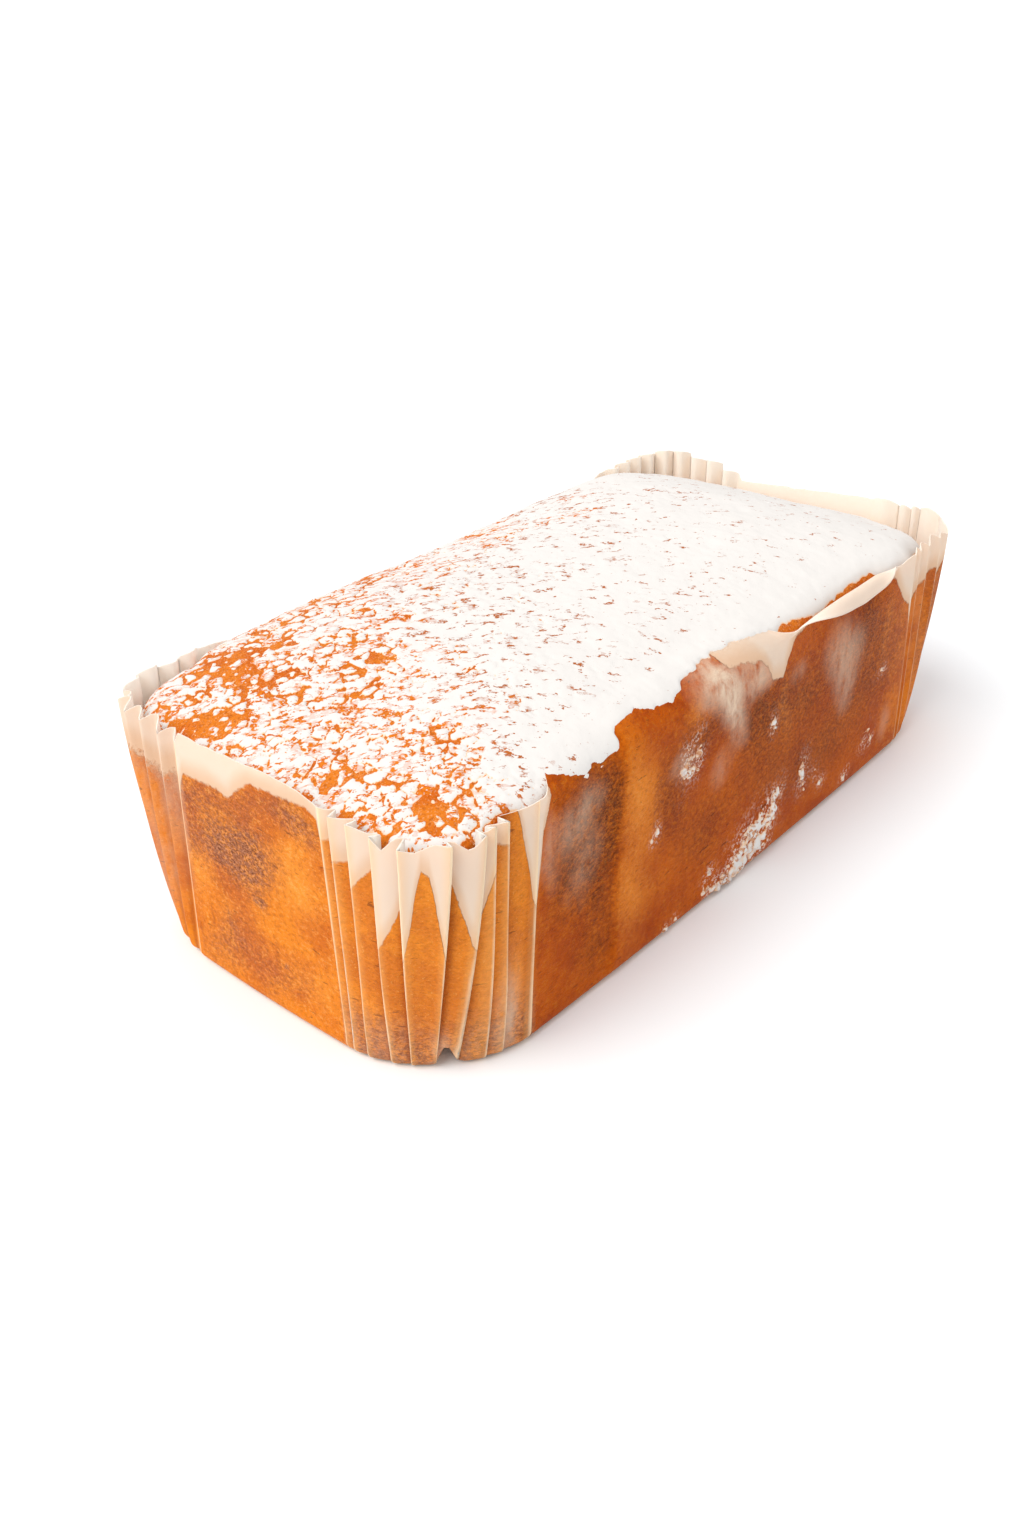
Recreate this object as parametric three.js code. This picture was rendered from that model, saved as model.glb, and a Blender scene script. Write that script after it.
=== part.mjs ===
// A loaf cake baked in a pleated greaseproof-paper tin liner, its top dusted with icing sugar.
// Millimetres, +Z up, origin at the middle of the base. +X runs along the loaf.
import * as THREE from "three";

// The paper liner, measured over the outside of its folds.
const RIM_LENGTH = 221.8;
const RIM_WIDTH = 107.8;
const HEIGHT = 62;
const END_LEAN = 1.2; // each end wall stands this much further out at the rim than at the base
const SIDE_LEAN = 1.6; // the same for each long wall
const RIM_CORNER_RADIUS = 15.5;
const BASE_CORNER_RADIUS = 28;
const CORNER_ROUNDING_POWER = 2.2; // how soon above the base the corners turn square
const BOW = 2.2; // how far the middle of a wall swells out at the base
const PAPER = 0.4; // thickness of the modelled paper
const BASE_EDGE_INSET = 3; // the edge where the base turns up into the wall
const BASE_EDGE_HEIGHT = 3;

// The pleats that take in the paper at each corner.
const SIDE_SETBACK = 31; // from the square corner to the first fold on a long wall
const END_SETBACK = 31.3; // the same on an end wall
const SETBACK_LOSS = 4; // how much nearer the corner both folds lie at the base
const RIM_FOLD_DEPTH = 2.8;
const BASE_FOLD_DEPTH = 0.5;
const FOLD_STEP = 0.016; // share of the corner that the step under a fold's proud edge takes
const FOLDS = [0, 0.05, 0.14, 0.26, 0.385, 0.56, 0.7, 0.75, 0.82, 0.985]; // proud edges, by share
const CENTRE_FOLD = 4; // the fold that starts the box pleat in the middle of the corner
const BOX_SAG = 0.45; // how deep the box pleat's face sags, as a share of the fold depth
const FOLD_FADE = 0.12; // share of the corner over which the pleats reach full depth

// The top edge of the near long wall: first it is tucked in over the cake's shoulder, then a flap of
// it is turned out.
const TUCK_FROM_FOLD = 2;
const TUCK_LENGTH = 94;
const TUCK_FADE = 14;
const TUCK_DEPTH = 3.6; // how far in over the shoulder it reaches
const TUCK_CLEARANCE = 0.1; // on top of the loaf's own clearance
const FLAP_FROM_FOLD = 9;
const FLAP_LENGTH = 64;
const FLAP_STRIP = 6.6; // paper turned over
const FLAP_TURN = THREE.MathUtils.degToRad(158);
const FLAP_RADIUS = 1.3;
const FLAP_LEAN = 2; // how far the wall under the flap leans in over the cake
const FLAP_LEAN_HEIGHT = 9; // the lean starts this far below the rim
const FLAP_GROWTH = 40; // the flap widens over this length from its left end
const FLAP_FADE = 16; // and narrows again over this length at its right end
const CUFF = 0.9; // the plain rim strip above the wall's last level
// Rings of the wall, by share of its height, and how far each is tucked in, by share of TUCK_DEPTH.
const WALL_LEVELS = [0.28, 0.6, 0.84];
const RIM_LEVELS = [{ share: 0.93, depth: 0 }, { share: 1, depth: 0.2 }];
const CUFF_LEVELS = [{ share: 0.3, depth: 0.45 }, { share: 0.6, depth: 0.72 }, { share: 1, depth: 1 }];
const LONG_WALL_STEPS = 20; // stations along a flat
const END_WALL_STEPS = 6;

// The baked loaf, which fills the liner.
const LOAF_CLEARANCE = 0.3;
const CROWN_RISE = 8.5; // the crown stands this far above the liner's rim
const WALL_RINGS_BELOW_RIM = [42, 24, 13];
const END_FALL = 11.5; // from the crown down to the ends
const SIDE_FALL = 8.5; // from the crown down to the long sides
const END_FALL_POWER = 3;
const SIDE_FALL_POWER = 2.4;
const SHOULDER_DROP = 4.5;
const SHOULDER_RADIUS = 6;
const SHOULDER_BAND = 7; // the top's rings keep parallel to the wall this far in
const LOAF_FADE = 0.06; // how far past the pleats the loaf stays clear of them, by share of the corner

// The layer of icing sugar on the top.
const SUGAR = 0.8;
const SUGAR_CLEARANCE = 0.4;
const SUGAR_EDGE = 5.2; // mean distance from the loaf's wall to the layer's edge
const SUGAR_EDGE_WAVE = 0.9;

const { lerp, clamp, smoothstep } = THREE.MathUtils;

// A side runs along `run`; `out` points out of the object. Sides and corners go round anticlockwise:
// near long wall, far end, back long wall, near end. Corner i follows side i.
const SIDES = [0, 1, 2, 3].map((i) => {
  const turn = (i * Math.PI) / 2;
  const run = new THREE.Vector2(Math.round(Math.cos(turn)), Math.round(Math.sin(turn)));
  return { long: i % 2 === 0, run, out: new THREE.Vector2(run.y, -run.x) };
});

// The liner's plan at height z: half sizes, corner radius, first folds and swell of the walls.
function planAt(z) {
  const t = clamp(z / HEIGHT, 0, 1);
  const halfLength = RIM_LENGTH / 2 - END_LEAN * (1 - t);
  const halfWidth = RIM_WIDTH / 2 - SIDE_LEAN * (1 - t);
  const corner = (1 - t) ** CORNER_ROUNDING_POWER;
  const setback = (side) => (side.long ? SIDE_SETBACK : END_SETBACK) - SETBACK_LOSS * (1 - t);
  return {
    along: (side) => (side.long ? halfLength : halfWidth),
    across: (side) => (side.long ? halfWidth : halfLength),
    setback,
    radius: Math.min(lerp(RIM_CORNER_RADIUS, BASE_CORNER_RADIUS, corner), ...SIDES.slice(0, 2).map(setback)),
    bow: BOW * (1 - t),
    foldDepth: lerp(BASE_FOLD_DEPTH, RIM_FOLD_DEPTH, t),
  };
}

function swell(plan, place, half) {
  return plan.bow * (1 - (place / half) ** 2);
}

function inSideFrame(side, along, across) {
  return new THREE.Vector2().addScaledVector(side.run, along).addScaledVector(side.out, across);
}

// A point of a wall, `along` it from its middle and `inset` inside the plan.
function wallPoint(plan, side, along, inset) {
  const across = plan.across(side) + swell(plan, along, plan.along(side)) - inset;
  return inSideFrame(side, along, across);
}

// A point of a rounded corner, `share` of the way round between its first and last folds.
function cornerPoint(plan, index, share, inset) {
  const side = SIDES[index];
  const next = SIDES[(index + 1) % 4];
  const { radius } = plan;
  const before = plan.setback(side) - radius;
  const arc = (radius * Math.PI) / 2;
  const after = plan.setback(next) - radius;
  const way = share * (before + arc + after);
  if (way < before) {
    return wallPoint(plan, side, plan.along(side) - plan.setback(side) + way, inset);
  }
  if (way > before + arc) {
    return wallPoint(plan, next, way - before - arc + radius - plan.along(next), inset);
  }
  const angle = (way - before) / radius;
  const along = plan.along(side) - radius + radius * Math.sin(angle);
  const across = plan.across(side) - radius + radius * Math.cos(angle);
  const point = inSideFrame(side, along, across);
  point.addScaledVector(side.run, (swell(plan, across, plan.across(side)) - inset) * Math.sin(angle));
  point.addScaledVector(side.out, (swell(plan, along, plan.along(side)) - inset) * Math.cos(angle));
  return point;
}

// A station is one place on the way round: on a wall by share of its flat, or on a corner.
function stationPoint(plan, station, inset) {
  if (station.corner !== undefined) return cornerPoint(plan, station.corner, station.share, inset);
  const side = SIDES[station.side];
  const flat = plan.along(side) - plan.setback(side);
  return wallPoint(plan, side, lerp(-flat, flat, station.share), inset);
}

// The pleats' profile across a corner: [share, depth], depth 0 on a proud edge and 1 in a valley.
function foldProfile() {
  const profile = [];
  for (let i = 0; i + 1 < FOLDS.length; i += 1) {
    const from = FOLDS[i];
    const to = FOLDS[i + 1];
    if (i < CENTRE_FOLD) {
      profile.push([from, 0], [lerp(from, to, 0.45), 0.4], [to - FOLD_STEP, 1]);
    } else if (i === CENTRE_FOLD) {
      profile.push([from, 0], [lerp(from, to, 0.3), BOX_SAG], [lerp(from, to, 0.7), BOX_SAG], [to, 0]);
    } else {
      profile.push([from + FOLD_STEP, 1], [lerp(from, to, 0.55), 0.4], [to, 0]);
    }
  }
  return profile;
}

// How much of the full depth the pleats have at a place in the corner, and how clear the loaf stays.
function foldAmount(share, margin) {
  return clamp((Math.min(share, 1 - share) + margin) / FOLD_FADE, 0, 1);
}

function linerStations() {
  const stations = [];
  SIDES.forEach((side, index) => {
    const steps = side.long ? LONG_WALL_STEPS : END_WALL_STEPS;
    for (let i = 1; i < steps; i += 1) stations.push({ side: index, share: i / steps, depth: 0 });
    for (const [share, depth] of foldProfile()) {
      stations.push({ corner: index, share, depth: depth * foldAmount(share, 0.02) });
    }
  });
  return stations;
}

// How far along the near long wall a rise-and-fall shape is in force, from 0 to 1.
function span(x, start, end, fadeIn, fadeOut) {
  return smoothstep(x, start, start + fadeIn) * (1 - smoothstep(x, end - fadeOut, end));
}

function nearFlat() {
  return RIM_LENGTH / 2 - SIDE_SETBACK;
}

function tuckAt(station, x) {
  if (station.side !== 0) return 0;
  const start = TUCK_FROM_FOLD - nearFlat();
  return span(x, start, start + TUCK_LENGTH, TUCK_FADE, TUCK_FADE);
}

function flapAt(station, x) {
  if (station.side !== 0) return 0;
  const end = nearFlat() - FLAP_FROM_FOLD;
  return span(x, end - FLAP_LENGTH, end, FLAP_GROWTH, FLAP_FADE);
}

// Heights and insets of the base's turned-up edge.
function baseEdge(lift) {
  return [0, 0.3, 1].map((share) => ({
    z: lift + BASE_EDGE_HEIGHT * share,
    inset: BASE_EDGE_INSET * (1 - Math.sqrt(share * (2 - share))),
  }));
}

// The middle of the paper at one station, from the base up over the rim.
function linerColumn(station) {
  const half = PAPER / 2;
  const pointAt = (z, inset) => {
    const plan = planAt(z);
    const flat = stationPoint(plan, station, inset + half + station.depth * plan.foldDepth);
    return new THREE.Vector3(flat.x, flat.y, z);
  };
  const column = baseEdge(half).map(({ z, inset }) => pointAt(z, inset));
  const { x } = pointAt(HEIGHT, 0);
  const flap = flapAt(station, x);
  const tuck = tuckAt(station, x);
  const add = (point, depth) => column.push(tuck > 0 ? point.lerp(tuckPoint(station, depth), tuck) : point);
  const top = HEIGHT - CUFF;
  for (const share of WALL_LEVELS) column.push(pointAt(lerp(BASE_EDGE_HEIGHT, top, share), 0));
  for (const { share, depth } of RIM_LEVELS) {
    const z = lerp(BASE_EDGE_HEIGHT, top, share);
    const lean = FLAP_LEAN * flap * smoothstep(z, top - FLAP_LEAN_HEIGHT, top);
    add(pointAt(z, lean), depth * TUCK_DEPTH);
  }
  const start = pointAt(top, FLAP_LEAN * flap);
  const out = SIDES[0].out;
  for (const { share, depth } of CUFF_LEVELS) {
    const { outward, up } = curl((CUFF + FLAP_STRIP * flap) * share, FLAP_TURN * flap);
    const point = new THREE.Vector3(out.x * outward, out.y * outward, up).add(start);
    add(point, depth * TUCK_DEPTH);
  }
  return column;
}

// The middle of the paper where it lies `depth` in over the loaf's shoulder.
function tuckPoint(station, depth) {
  const gap = LOAF_CLEARANCE + TUCK_CLEARANCE + PAPER / 2;
  const rise = Math.min(depth / SHOULDER_RADIUS, 1);
  const out = SIDES[station.side].out;
  const point = topPoint({ ...station, clear: 0 }, depth);
  const sideways = gap * Math.sqrt(1 - rise ** 2);
  return point.add(new THREE.Vector3(out.x * sideways, out.y * sideways, gap * Math.sqrt(rise)));
}

// Where a strip is after `length` of paper: it turns over a rounded edge and then runs straight.
function curl(length, turn) {
  const bent = Math.min(length / FLAP_RADIUS, turn);
  const straight = length - bent * FLAP_RADIUS;
  return {
    outward: FLAP_RADIUS * (1 - Math.cos(bent)) + straight * Math.sin(bent),
    up: FLAP_RADIUS * Math.sin(bent) + straight * Math.cos(bent),
  };
}

// A triangle mesh gathered from rings of points that all have the same number of stations.
class Surface {
  constructor() {
    this.points = [];
    this.faces = [];
  }
  addRing(ring) {
    const start = this.points.length;
    this.points.push(...ring);
    return { start, count: ring.length };
  }
  // Quads between two rings; they face out when `lower` goes anticlockwise below `upper`.
  join(lower, upper) {
    for (let i = 0; i < lower.count; i += 1) {
      const j = (i + 1) % lower.count;
      const [a, b] = [lower.start + i, lower.start + j];
      const [c, d] = [upper.start + i, upper.start + j];
      this.faces.push([a, b, d], [a, d, c]);
    }
  }
  // Fills a ring; it faces up for an anticlockwise ring, or down with `down`.
  cap(ring, down) {
    const outline = this.points
      .slice(ring.start, ring.start + ring.count)
      .map((point) => new THREE.Vector2(point.x, point.y));
    for (const [a, b, c] of THREE.ShapeUtils.triangulateShape(outline, [])) {
      const face = [ring.start + a, ring.start + b, ring.start + c];
      this.faces.push(down ? face.reverse() : face);
    }
  }
  // Fills a ring with triangles round one middle point.
  fan(ring, point, down) {
    const middle = this.points.push(point) - 1;
    for (let i = 0; i < ring.count; i += 1) {
      const face = [middle, ring.start + i, ring.start + ((i + 1) % ring.count)];
      this.faces.push(down ? face.reverse() : face);
    }
  }
  vertexNormals() {
    const normals = this.points.map(() => new THREE.Vector3());
    for (const face of this.faces) {
      const [a, b, c] = face.map((index) => this.points[index]);
      const normal = b.clone().sub(a).cross(c.clone().sub(a));
      for (const index of face) normals[index].add(normal);
    }
    return normals.map((normal) => normal.normalize());
  }
  toMesh(name, material) {
    const geometry = new THREE.BufferGeometry();
    const numbers = this.points.flatMap((point) => point.toArray());
    geometry.setAttribute("position", new THREE.Float32BufferAttribute(numbers, 3));
    geometry.setIndex(this.faces.flat());
    geometry.computeVertexNormals();
    const mesh = new THREE.Mesh(geometry, material);
    mesh.name = name;
    return mesh;
  }
}

function paperLiner() {
  const columns = linerStations().map(linerColumn);
  const levels = columns[0].length;
  const middle = new Surface();
  const rings = [];
  for (let level = 0; level < levels; level += 1) {
    rings.push(middle.addRing(columns.map((column) => column[level])));
    if (level > 0) middle.join(rings[level - 1], rings[level]);
  }
  const normals = middle.vertexNormals();
  for (let i = 0; i < rings[0].count; i += 1) normals[i].set(0, 0, -1);
  const shell = new Surface();
  const layer = (offset) =>
    rings.map(({ start, count }) =>
      shell.addRing(
        middle.points
          .slice(start, start + count)
          .map((point, i) => point.clone().addScaledVector(normals[start + i], offset)),
      ),
    );
  const outer = layer(PAPER / 2);
  const inner = layer(-PAPER / 2);
  shell.cap(outer[0], true);
  shell.cap(inner[0], false);
  for (let level = 1; level < levels; level += 1) {
    shell.join(outer[level - 1], outer[level]);
    shell.join(inner[level], inner[level - 1]);
  }
  shell.join(outer[levels - 1], inner[levels - 1]);
  return shell.toMesh("paper_liner", paint(0xf0dcc0, 0.85));
}

function loafStations() {
  const stations = [];
  SIDES.forEach((side, index) => {
    const steps = side.long ? LONG_WALL_STEPS : END_WALL_STEPS;
    const flat = 2 * (planAt(HEIGHT).along(side) - planAt(HEIGHT).setback(side));
    const fade = 3 / flat; // the last few millimetres of the flat, where the loaf leaves the paper
    stations.push({ side: index, share: fade, clear: 0 });
    for (let i = 1; i < steps; i += 1) stations.push({ side: index, share: i / steps, clear: 0 });
    stations.push({ side: index, share: 1 - fade, clear: 0 });
    for (const share of [0, 0.06, 0.16, 0.26, 0.35, 0.45, 0.55, 0.65, 0.74, 0.84, 0.94, 1]) {
      stations.push({ corner: index, share, clear: foldAmount(share, LOAF_FADE) });
    }
  });
  return stations;
}

// The loaf's outline at height z, `inset` inside the liner's inner face and clear of the pleats.
function loafPoint(station, z, inset) {
  const plan = planAt(z);
  const gap = PAPER + LOAF_CLEARANCE + station.clear * plan.foldDepth;
  return stationPoint(plan, station, inset + gap);
}

// Height of the domed top over a place in plan, before the shoulder's rounding.
function domeHeight(x, y) {
  const end = END_FALL * Math.abs((2 * x) / RIM_LENGTH) ** END_FALL_POWER;
  const side = SIDE_FALL * Math.abs((2 * y) / RIM_WIDTH) ** SIDE_FALL_POWER;
  return HEIGHT + CROWN_RISE - Math.hypot(end, side);
}

// The point of the top surface `depth` in from the loaf's wall at a station. Past the shoulder band
// the rings close in on the middle of the crown.
function topPoint(station, depth) {
  const lean = FLAP_LEAN * flapAt(station, loafPoint(station, HEIGHT, 0).x);
  const place = loafPoint(station, HEIGHT, lean + Math.min(depth, SHOULDER_BAND));
  place.multiplyScalar(1 - Math.max(depth - SHOULDER_BAND, 0) / (RIM_WIDTH / 2 - SHOULDER_BAND));
  const shoulder = 1 - Math.min(depth / SHOULDER_RADIUS, 1);
  const drop = SHOULDER_DROP * (1 - Math.sqrt(1 - shoulder ** 2));
  const z = domeHeight(place.x, place.y) - drop;
  return new THREE.Vector3(place.x, place.y, z);
}

const SHOULDER_DEPTHS = [0, 0.25, 1.1, 2.6, 4];
const CROWN_DEPTHS = [SHOULDER_BAND, 12, 22, 34, 46];

function crownPoint(rise) {
  return new THREE.Vector3(0, 0, domeHeight(0, 0) + rise);
}

function loaf() {
  const stations = loafStations();
  const body = new Surface();
  const lift = PAPER + LOAF_CLEARANCE;
  const ringAt = (pointOf) => body.addRing(stations.map(pointOf));
  const wallRing = (z, inset) =>
    ringAt((station) => {
      const flat = loafPoint(station, z, inset);
      return new THREE.Vector3(flat.x, flat.y, z);
    });
  const rings = baseEdge(lift).map(({ z, inset }) => wallRing(z, inset));
  for (const below of WALL_RINGS_BELOW_RIM) rings.push(wallRing(HEIGHT - below, 0));
  for (const depth of [...SHOULDER_DEPTHS, ...CROWN_DEPTHS]) rings.push(ringAt((station) => topPoint(station, depth)));
  for (let i = 1; i < rings.length; i += 1) body.join(rings[i - 1], rings[i]);
  body.cap(rings[0], true);
  body.fan(rings[rings.length - 1], crownPoint(0), false);
  return body.toMesh("loaf", paint(0xd9771c, 0.8));
}

// The sugar layer's edge wanders in and out as it goes round.
function sugarEdge(index, count) {
  const turn = (2 * Math.PI * index) / count;
  const wave = Math.sin(9 * turn) + 0.7 * Math.sin(23 * turn + 1) + 0.5 * Math.sin(41 * turn + 2);
  return SUGAR_EDGE + (SUGAR_EDGE_WAVE * wave) / 2;
}

function icingSugar() {
  const stations = loafStations();
  const edges = stations.map((_, i) => sugarEdge(i, stations.length));
  const layer = new Surface();
  const ringAt = (depthOf, rise) =>
    layer.addRing(
      stations.map((station, i) => {
        const point = topPoint(station, depthOf(i));
        return point.setZ(point.z + rise);
      }),
    );
  const sheet = (rise) => [
    ringAt((i) => edges[i], rise),
    ...CROWN_DEPTHS.map((depth) => ringAt(() => depth, rise)),
  ];
  const under = sheet(SUGAR_CLEARANCE);
  const over = sheet(SUGAR_CLEARANCE + SUGAR);
  layer.join(under[0], over[0]);
  for (let i = 1; i < over.length; i += 1) {
    layer.join(over[i - 1], over[i]);
    layer.join(under[i], under[i - 1]);
  }
  layer.fan(over[over.length - 1], crownPoint(SUGAR_CLEARANCE + SUGAR), false);
  layer.fan(under[under.length - 1], crownPoint(SUGAR_CLEARANCE), true);
  return layer.toMesh("icing_sugar", paint(0xfbf7f2, 0.9));
}

function paint(color, roughness) {
  return new THREE.MeshStandardMaterial({ color, roughness, metalness: 0 });
}

const group = new THREE.Group();
group.add(paperLiner(), loaf(), icingSugar());
export default group;
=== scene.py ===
import math

import bpy
import numpy as np
from mathutils import Matrix, Vector


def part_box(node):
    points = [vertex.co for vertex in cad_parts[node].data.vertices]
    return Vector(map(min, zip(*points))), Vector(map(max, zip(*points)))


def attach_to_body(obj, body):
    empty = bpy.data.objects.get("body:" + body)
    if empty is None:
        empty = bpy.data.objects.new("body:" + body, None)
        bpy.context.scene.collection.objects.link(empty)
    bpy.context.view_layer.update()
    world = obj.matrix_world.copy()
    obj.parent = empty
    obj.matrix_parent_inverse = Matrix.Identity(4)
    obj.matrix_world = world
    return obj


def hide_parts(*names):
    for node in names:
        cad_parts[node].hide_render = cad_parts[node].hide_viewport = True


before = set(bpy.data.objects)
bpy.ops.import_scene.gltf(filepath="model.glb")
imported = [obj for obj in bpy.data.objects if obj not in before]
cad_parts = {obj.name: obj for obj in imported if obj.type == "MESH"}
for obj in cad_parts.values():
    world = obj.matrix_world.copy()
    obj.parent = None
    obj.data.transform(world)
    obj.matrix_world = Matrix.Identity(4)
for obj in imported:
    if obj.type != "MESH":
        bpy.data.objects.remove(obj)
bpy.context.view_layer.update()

# Lengths are millimetres until a mesh, the camera or the floor is made.
MM = 0.001


def top_corner(node):
    """The greatest x, y and z of a node's box."""
    return np.array(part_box(node)[1]) / MM


liner_high = top_corner("paper_liner")
loaf_high = top_corner("loaf")

# The liner's plan, as in the part's own source. A corner has the number of the side before it.
NEAR_LONG, FAR_END, BACK, NEAR_END = range(4)
BOW = 2.2
END_LEAN = 1.2
SIDE_LEAN = 1.6
BULGE = 0.95  # the walls stand out most just above the base's edge, by this share of bow less lean
CROWN_RISE = 8.5
HALF_LENGTH = liner_high[0] - BULGE * (BOW - END_LEAN)
HALF_WIDTH = liner_high[1] - BULGE * (BOW - SIDE_LEAN)
HEIGHT = loaf_high[2] - CROWN_RISE
RIM_RADIUS = 15.5
BASE_RADIUS = 28.0
ROUNDING_POWER = 2.2
SETBACKS = (31.0, 31.3)  # to a corner's first fold, on a long wall and on an end wall
SETBACK_LOSS = 4.0
BASE_EDGE = 3.0
FOLDS = (0, 0.05, 0.14, 0.26, 0.385, 0.56, 0.70, 0.75, 0.82, 0.985)
EVEN_FOLDS = tuple(i / 9 * 0.99 for i in range(10))  # the two back corners
PLEATS = len(FOLDS) - 1
CENTRE_FOLD = 4
SHARP_CORNER = NEAR_END  # the near corner's pleats are pressed flat; the others are rounded waves
SOFT_DEPTHS = (0.55, 1.3, 1.0, 0)
# Where the near corner's folds have moved to at the base; the other corners' folds stay put.
NEAR_FOLDS_LOW = (0, 0.05, 0.135, 0.265, 0.36, 0.465, 0.53, 0.70, 0.80, 0.94)
# A raised arch in the near corner's base edge: share, half width, height.
NOTCH = (0.525, 0.038, 4.2)
NOTCH_FADE = 7  # mm above the base
FOLD_DEPTHS = (0.6, 2.8)  # at the base and at the rim
FOLD_STEP = 0.016
CORNER_RUN = 55.0  # mm round a corner, near enough for the lines along its folds
NO_FOLD = 99.0  # mm from a fold, where there is none
# Across a pleat: (place, depth), 0 deep on the proud edge and 1 in the valley.
KNIFE_PLEAT = (
    (0, 0.04), (0.03, 0), (0.09, 0.03), (0.2, 0.12), (0.35, 0.27), (0.5, 0.43), (0.66, 0.6), (0.82, 0.8),
    (0.93, 0.93), (1, 1),
)
BOX_PLEAT = (
    (0, 0.04), (0.025, 0), (0.07, 0.06), (0.16, 0.28), (0.3, 0.45), (0.42, 0.5), (0.58, 0.5), (0.7, 0.45),
    (0.84, 0.28), (0.93, 0.06), (0.975, 0), (1, 0.04),
)
END_FALL, SIDE_FALL = 11.5, 8.5
END_POWER, SIDE_POWER = 3.0, 2.4
SHOULDER_DROP, SHOULDER_RADIUS = 4.5, 6.0
FAR_EXTRA_FALL = 4.8  # the far end has risen less
PAPER = 0.26
LOAF_GAP = 0.7  # from the liner's outer face to the loaf
EAST_GAP = 3.4  # how much further from it the loaf is in the middle of the near long side's corner


# ---------------- noise


def lattice(ix, iy, iz, seed):
    """A random number from 0 to 1 for each whole-numbered place."""
    mixed = ix * 374761393 + iy * 668265263 + iz * 1274126177 + seed * 974634777
    mixed = (mixed ^ (mixed >> 13)) & 0xFFFFFFFF
    mixed = (mixed * 1103515245 + 12345) & 0xFFFFFFFF
    mixed = ((mixed ^ (mixed >> 15)) * 668265263) & 0xFFFFFFFF
    return ((mixed ^ (mixed >> 14)) & 0xFFFFFF) / 0xFFFFFF


def noise(x, y, z, size, seed):
    """Smooth noise from -1 to 1 with lumps about `size` across."""
    place = [axis / size for axis in np.broadcast_arrays(x, y, z)]
    cell = [np.floor(axis).astype(np.int64) for axis in place]
    part = [axis - low for axis, low in zip(place, cell)]
    part = [f * f * (3 - 2 * f) for f in part]
    total = 0
    for corner in range(8):
        step = [(corner >> axis) & 1 for axis in range(3)]
        weight = 1
        for f, s in zip(part, step):
            weight = weight * (f if s else 1 - f)
        total = total + weight * lattice(*[c + s for c, s in zip(cell, step)], seed)
    return 2 * total - 1


def rough(x, y, z, size, seed, octaves=4, gain=0.5):
    """Noise of several sizes, about -1 to 1."""
    total, weight = 0, 0
    for i in range(octaves):
        total = total + gain**i * noise(x, y, z, size / 2.03**i, seed + i)
        weight += gain**i
    return total / weight


def smooth(value, low, high):
    t = np.clip((value - low) / (high - low), 0, 1)
    return t * t * (3 - 2 * t)


def keyed(keys, at):
    """Straight lines through (place, value) pairs."""
    places, values = zip(*keys)
    return np.interp(at, places, values)


# ---------------- plan


def plan_at(z):
    t = np.clip(z / HEIGHT, 0, 1)
    halves = (HALF_LENGTH - END_LEAN * (1 - t), HALF_WIDTH - SIDE_LEAN * (1 - t))
    setbacks = [s - SETBACK_LOSS * (1 - t) for s in SETBACKS]
    radius = RIM_RADIUS + (BASE_RADIUS - RIM_RADIUS) * (1 - t) ** ROUNDING_POWER
    radius = np.minimum(radius, np.minimum(*setbacks))
    depth = FOLD_DEPTHS[0] + (FOLD_DEPTHS[1] - FOLD_DEPTHS[0]) * t
    return {"halves": halves, "setbacks": setbacks, "radius": radius, "bow": BOW * (1 - t), "depth": depth}


def run_and_out(side):
    turn = side * math.pi / 2
    run = (round(math.cos(turn)), round(math.sin(turn)))
    return run, (run[1], -run[0])


def in_side_frame(side, along, across):
    run, out = run_and_out(side)
    return run[0] * along + out[0] * across, run[1] * along + out[1] * across


def swell(plan, side, along):
    half = plan["halves"][side % 2]
    return plan["bow"] * (1 - (along / half) ** 2)


def wall_point(plan, side, along, inset):
    across = plan["halves"][1 - side % 2] + swell(plan, side, along) - inset
    return in_side_frame(side, along, across)


def corner_point(plan, index, share, inset):
    """A point of a rounded corner, `share` of the way from its first fold to its last."""
    side, after_side = index, (index + 1) % 4
    radius = plan["radius"]
    before = plan["setbacks"][side % 2] - radius
    arc = radius * math.pi / 2
    after = plan["setbacks"][after_side % 2] - radius
    way = share * (before + arc + after)
    along, across = plan["halves"][side % 2], plan["halves"][1 - side % 2]
    first = wall_point(plan, side, along - plan["setbacks"][side % 2] + way, inset)
    last = wall_point(plan, after_side, way - before - arc + radius - across, inset)
    angle = np.clip((way - before) / radius, 0, math.pi / 2)
    place = along - radius + radius * np.sin(angle)
    reach = across - radius + radius * np.cos(angle)
    place = place + (swell(plan, after_side, reach) - inset) * np.sin(angle)
    reach = reach + (swell(plan, side, along - radius + radius * np.sin(angle)) - inset) * np.cos(angle)
    bend = in_side_frame(side, place, reach)
    return [
        np.where(way < before, first[i], np.where(way > before + arc, last[i], bend[i]))
        for i in (0, 1)
    ]


def pleat_shape(i):
    """How far a pleat's two edges lie past its folds, in fold steps, and the depths between them."""
    if i < CENTRE_FOLD:
        return -0.8, -0.35, KNIFE_PLEAT
    if i == CENTRE_FOLD:
        return -0.8, 0.8, BOX_PLEAT
    return 0.35, 0.8, [(1 - u, depth) for u, depth in reversed(KNIFE_PLEAT)]


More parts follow.
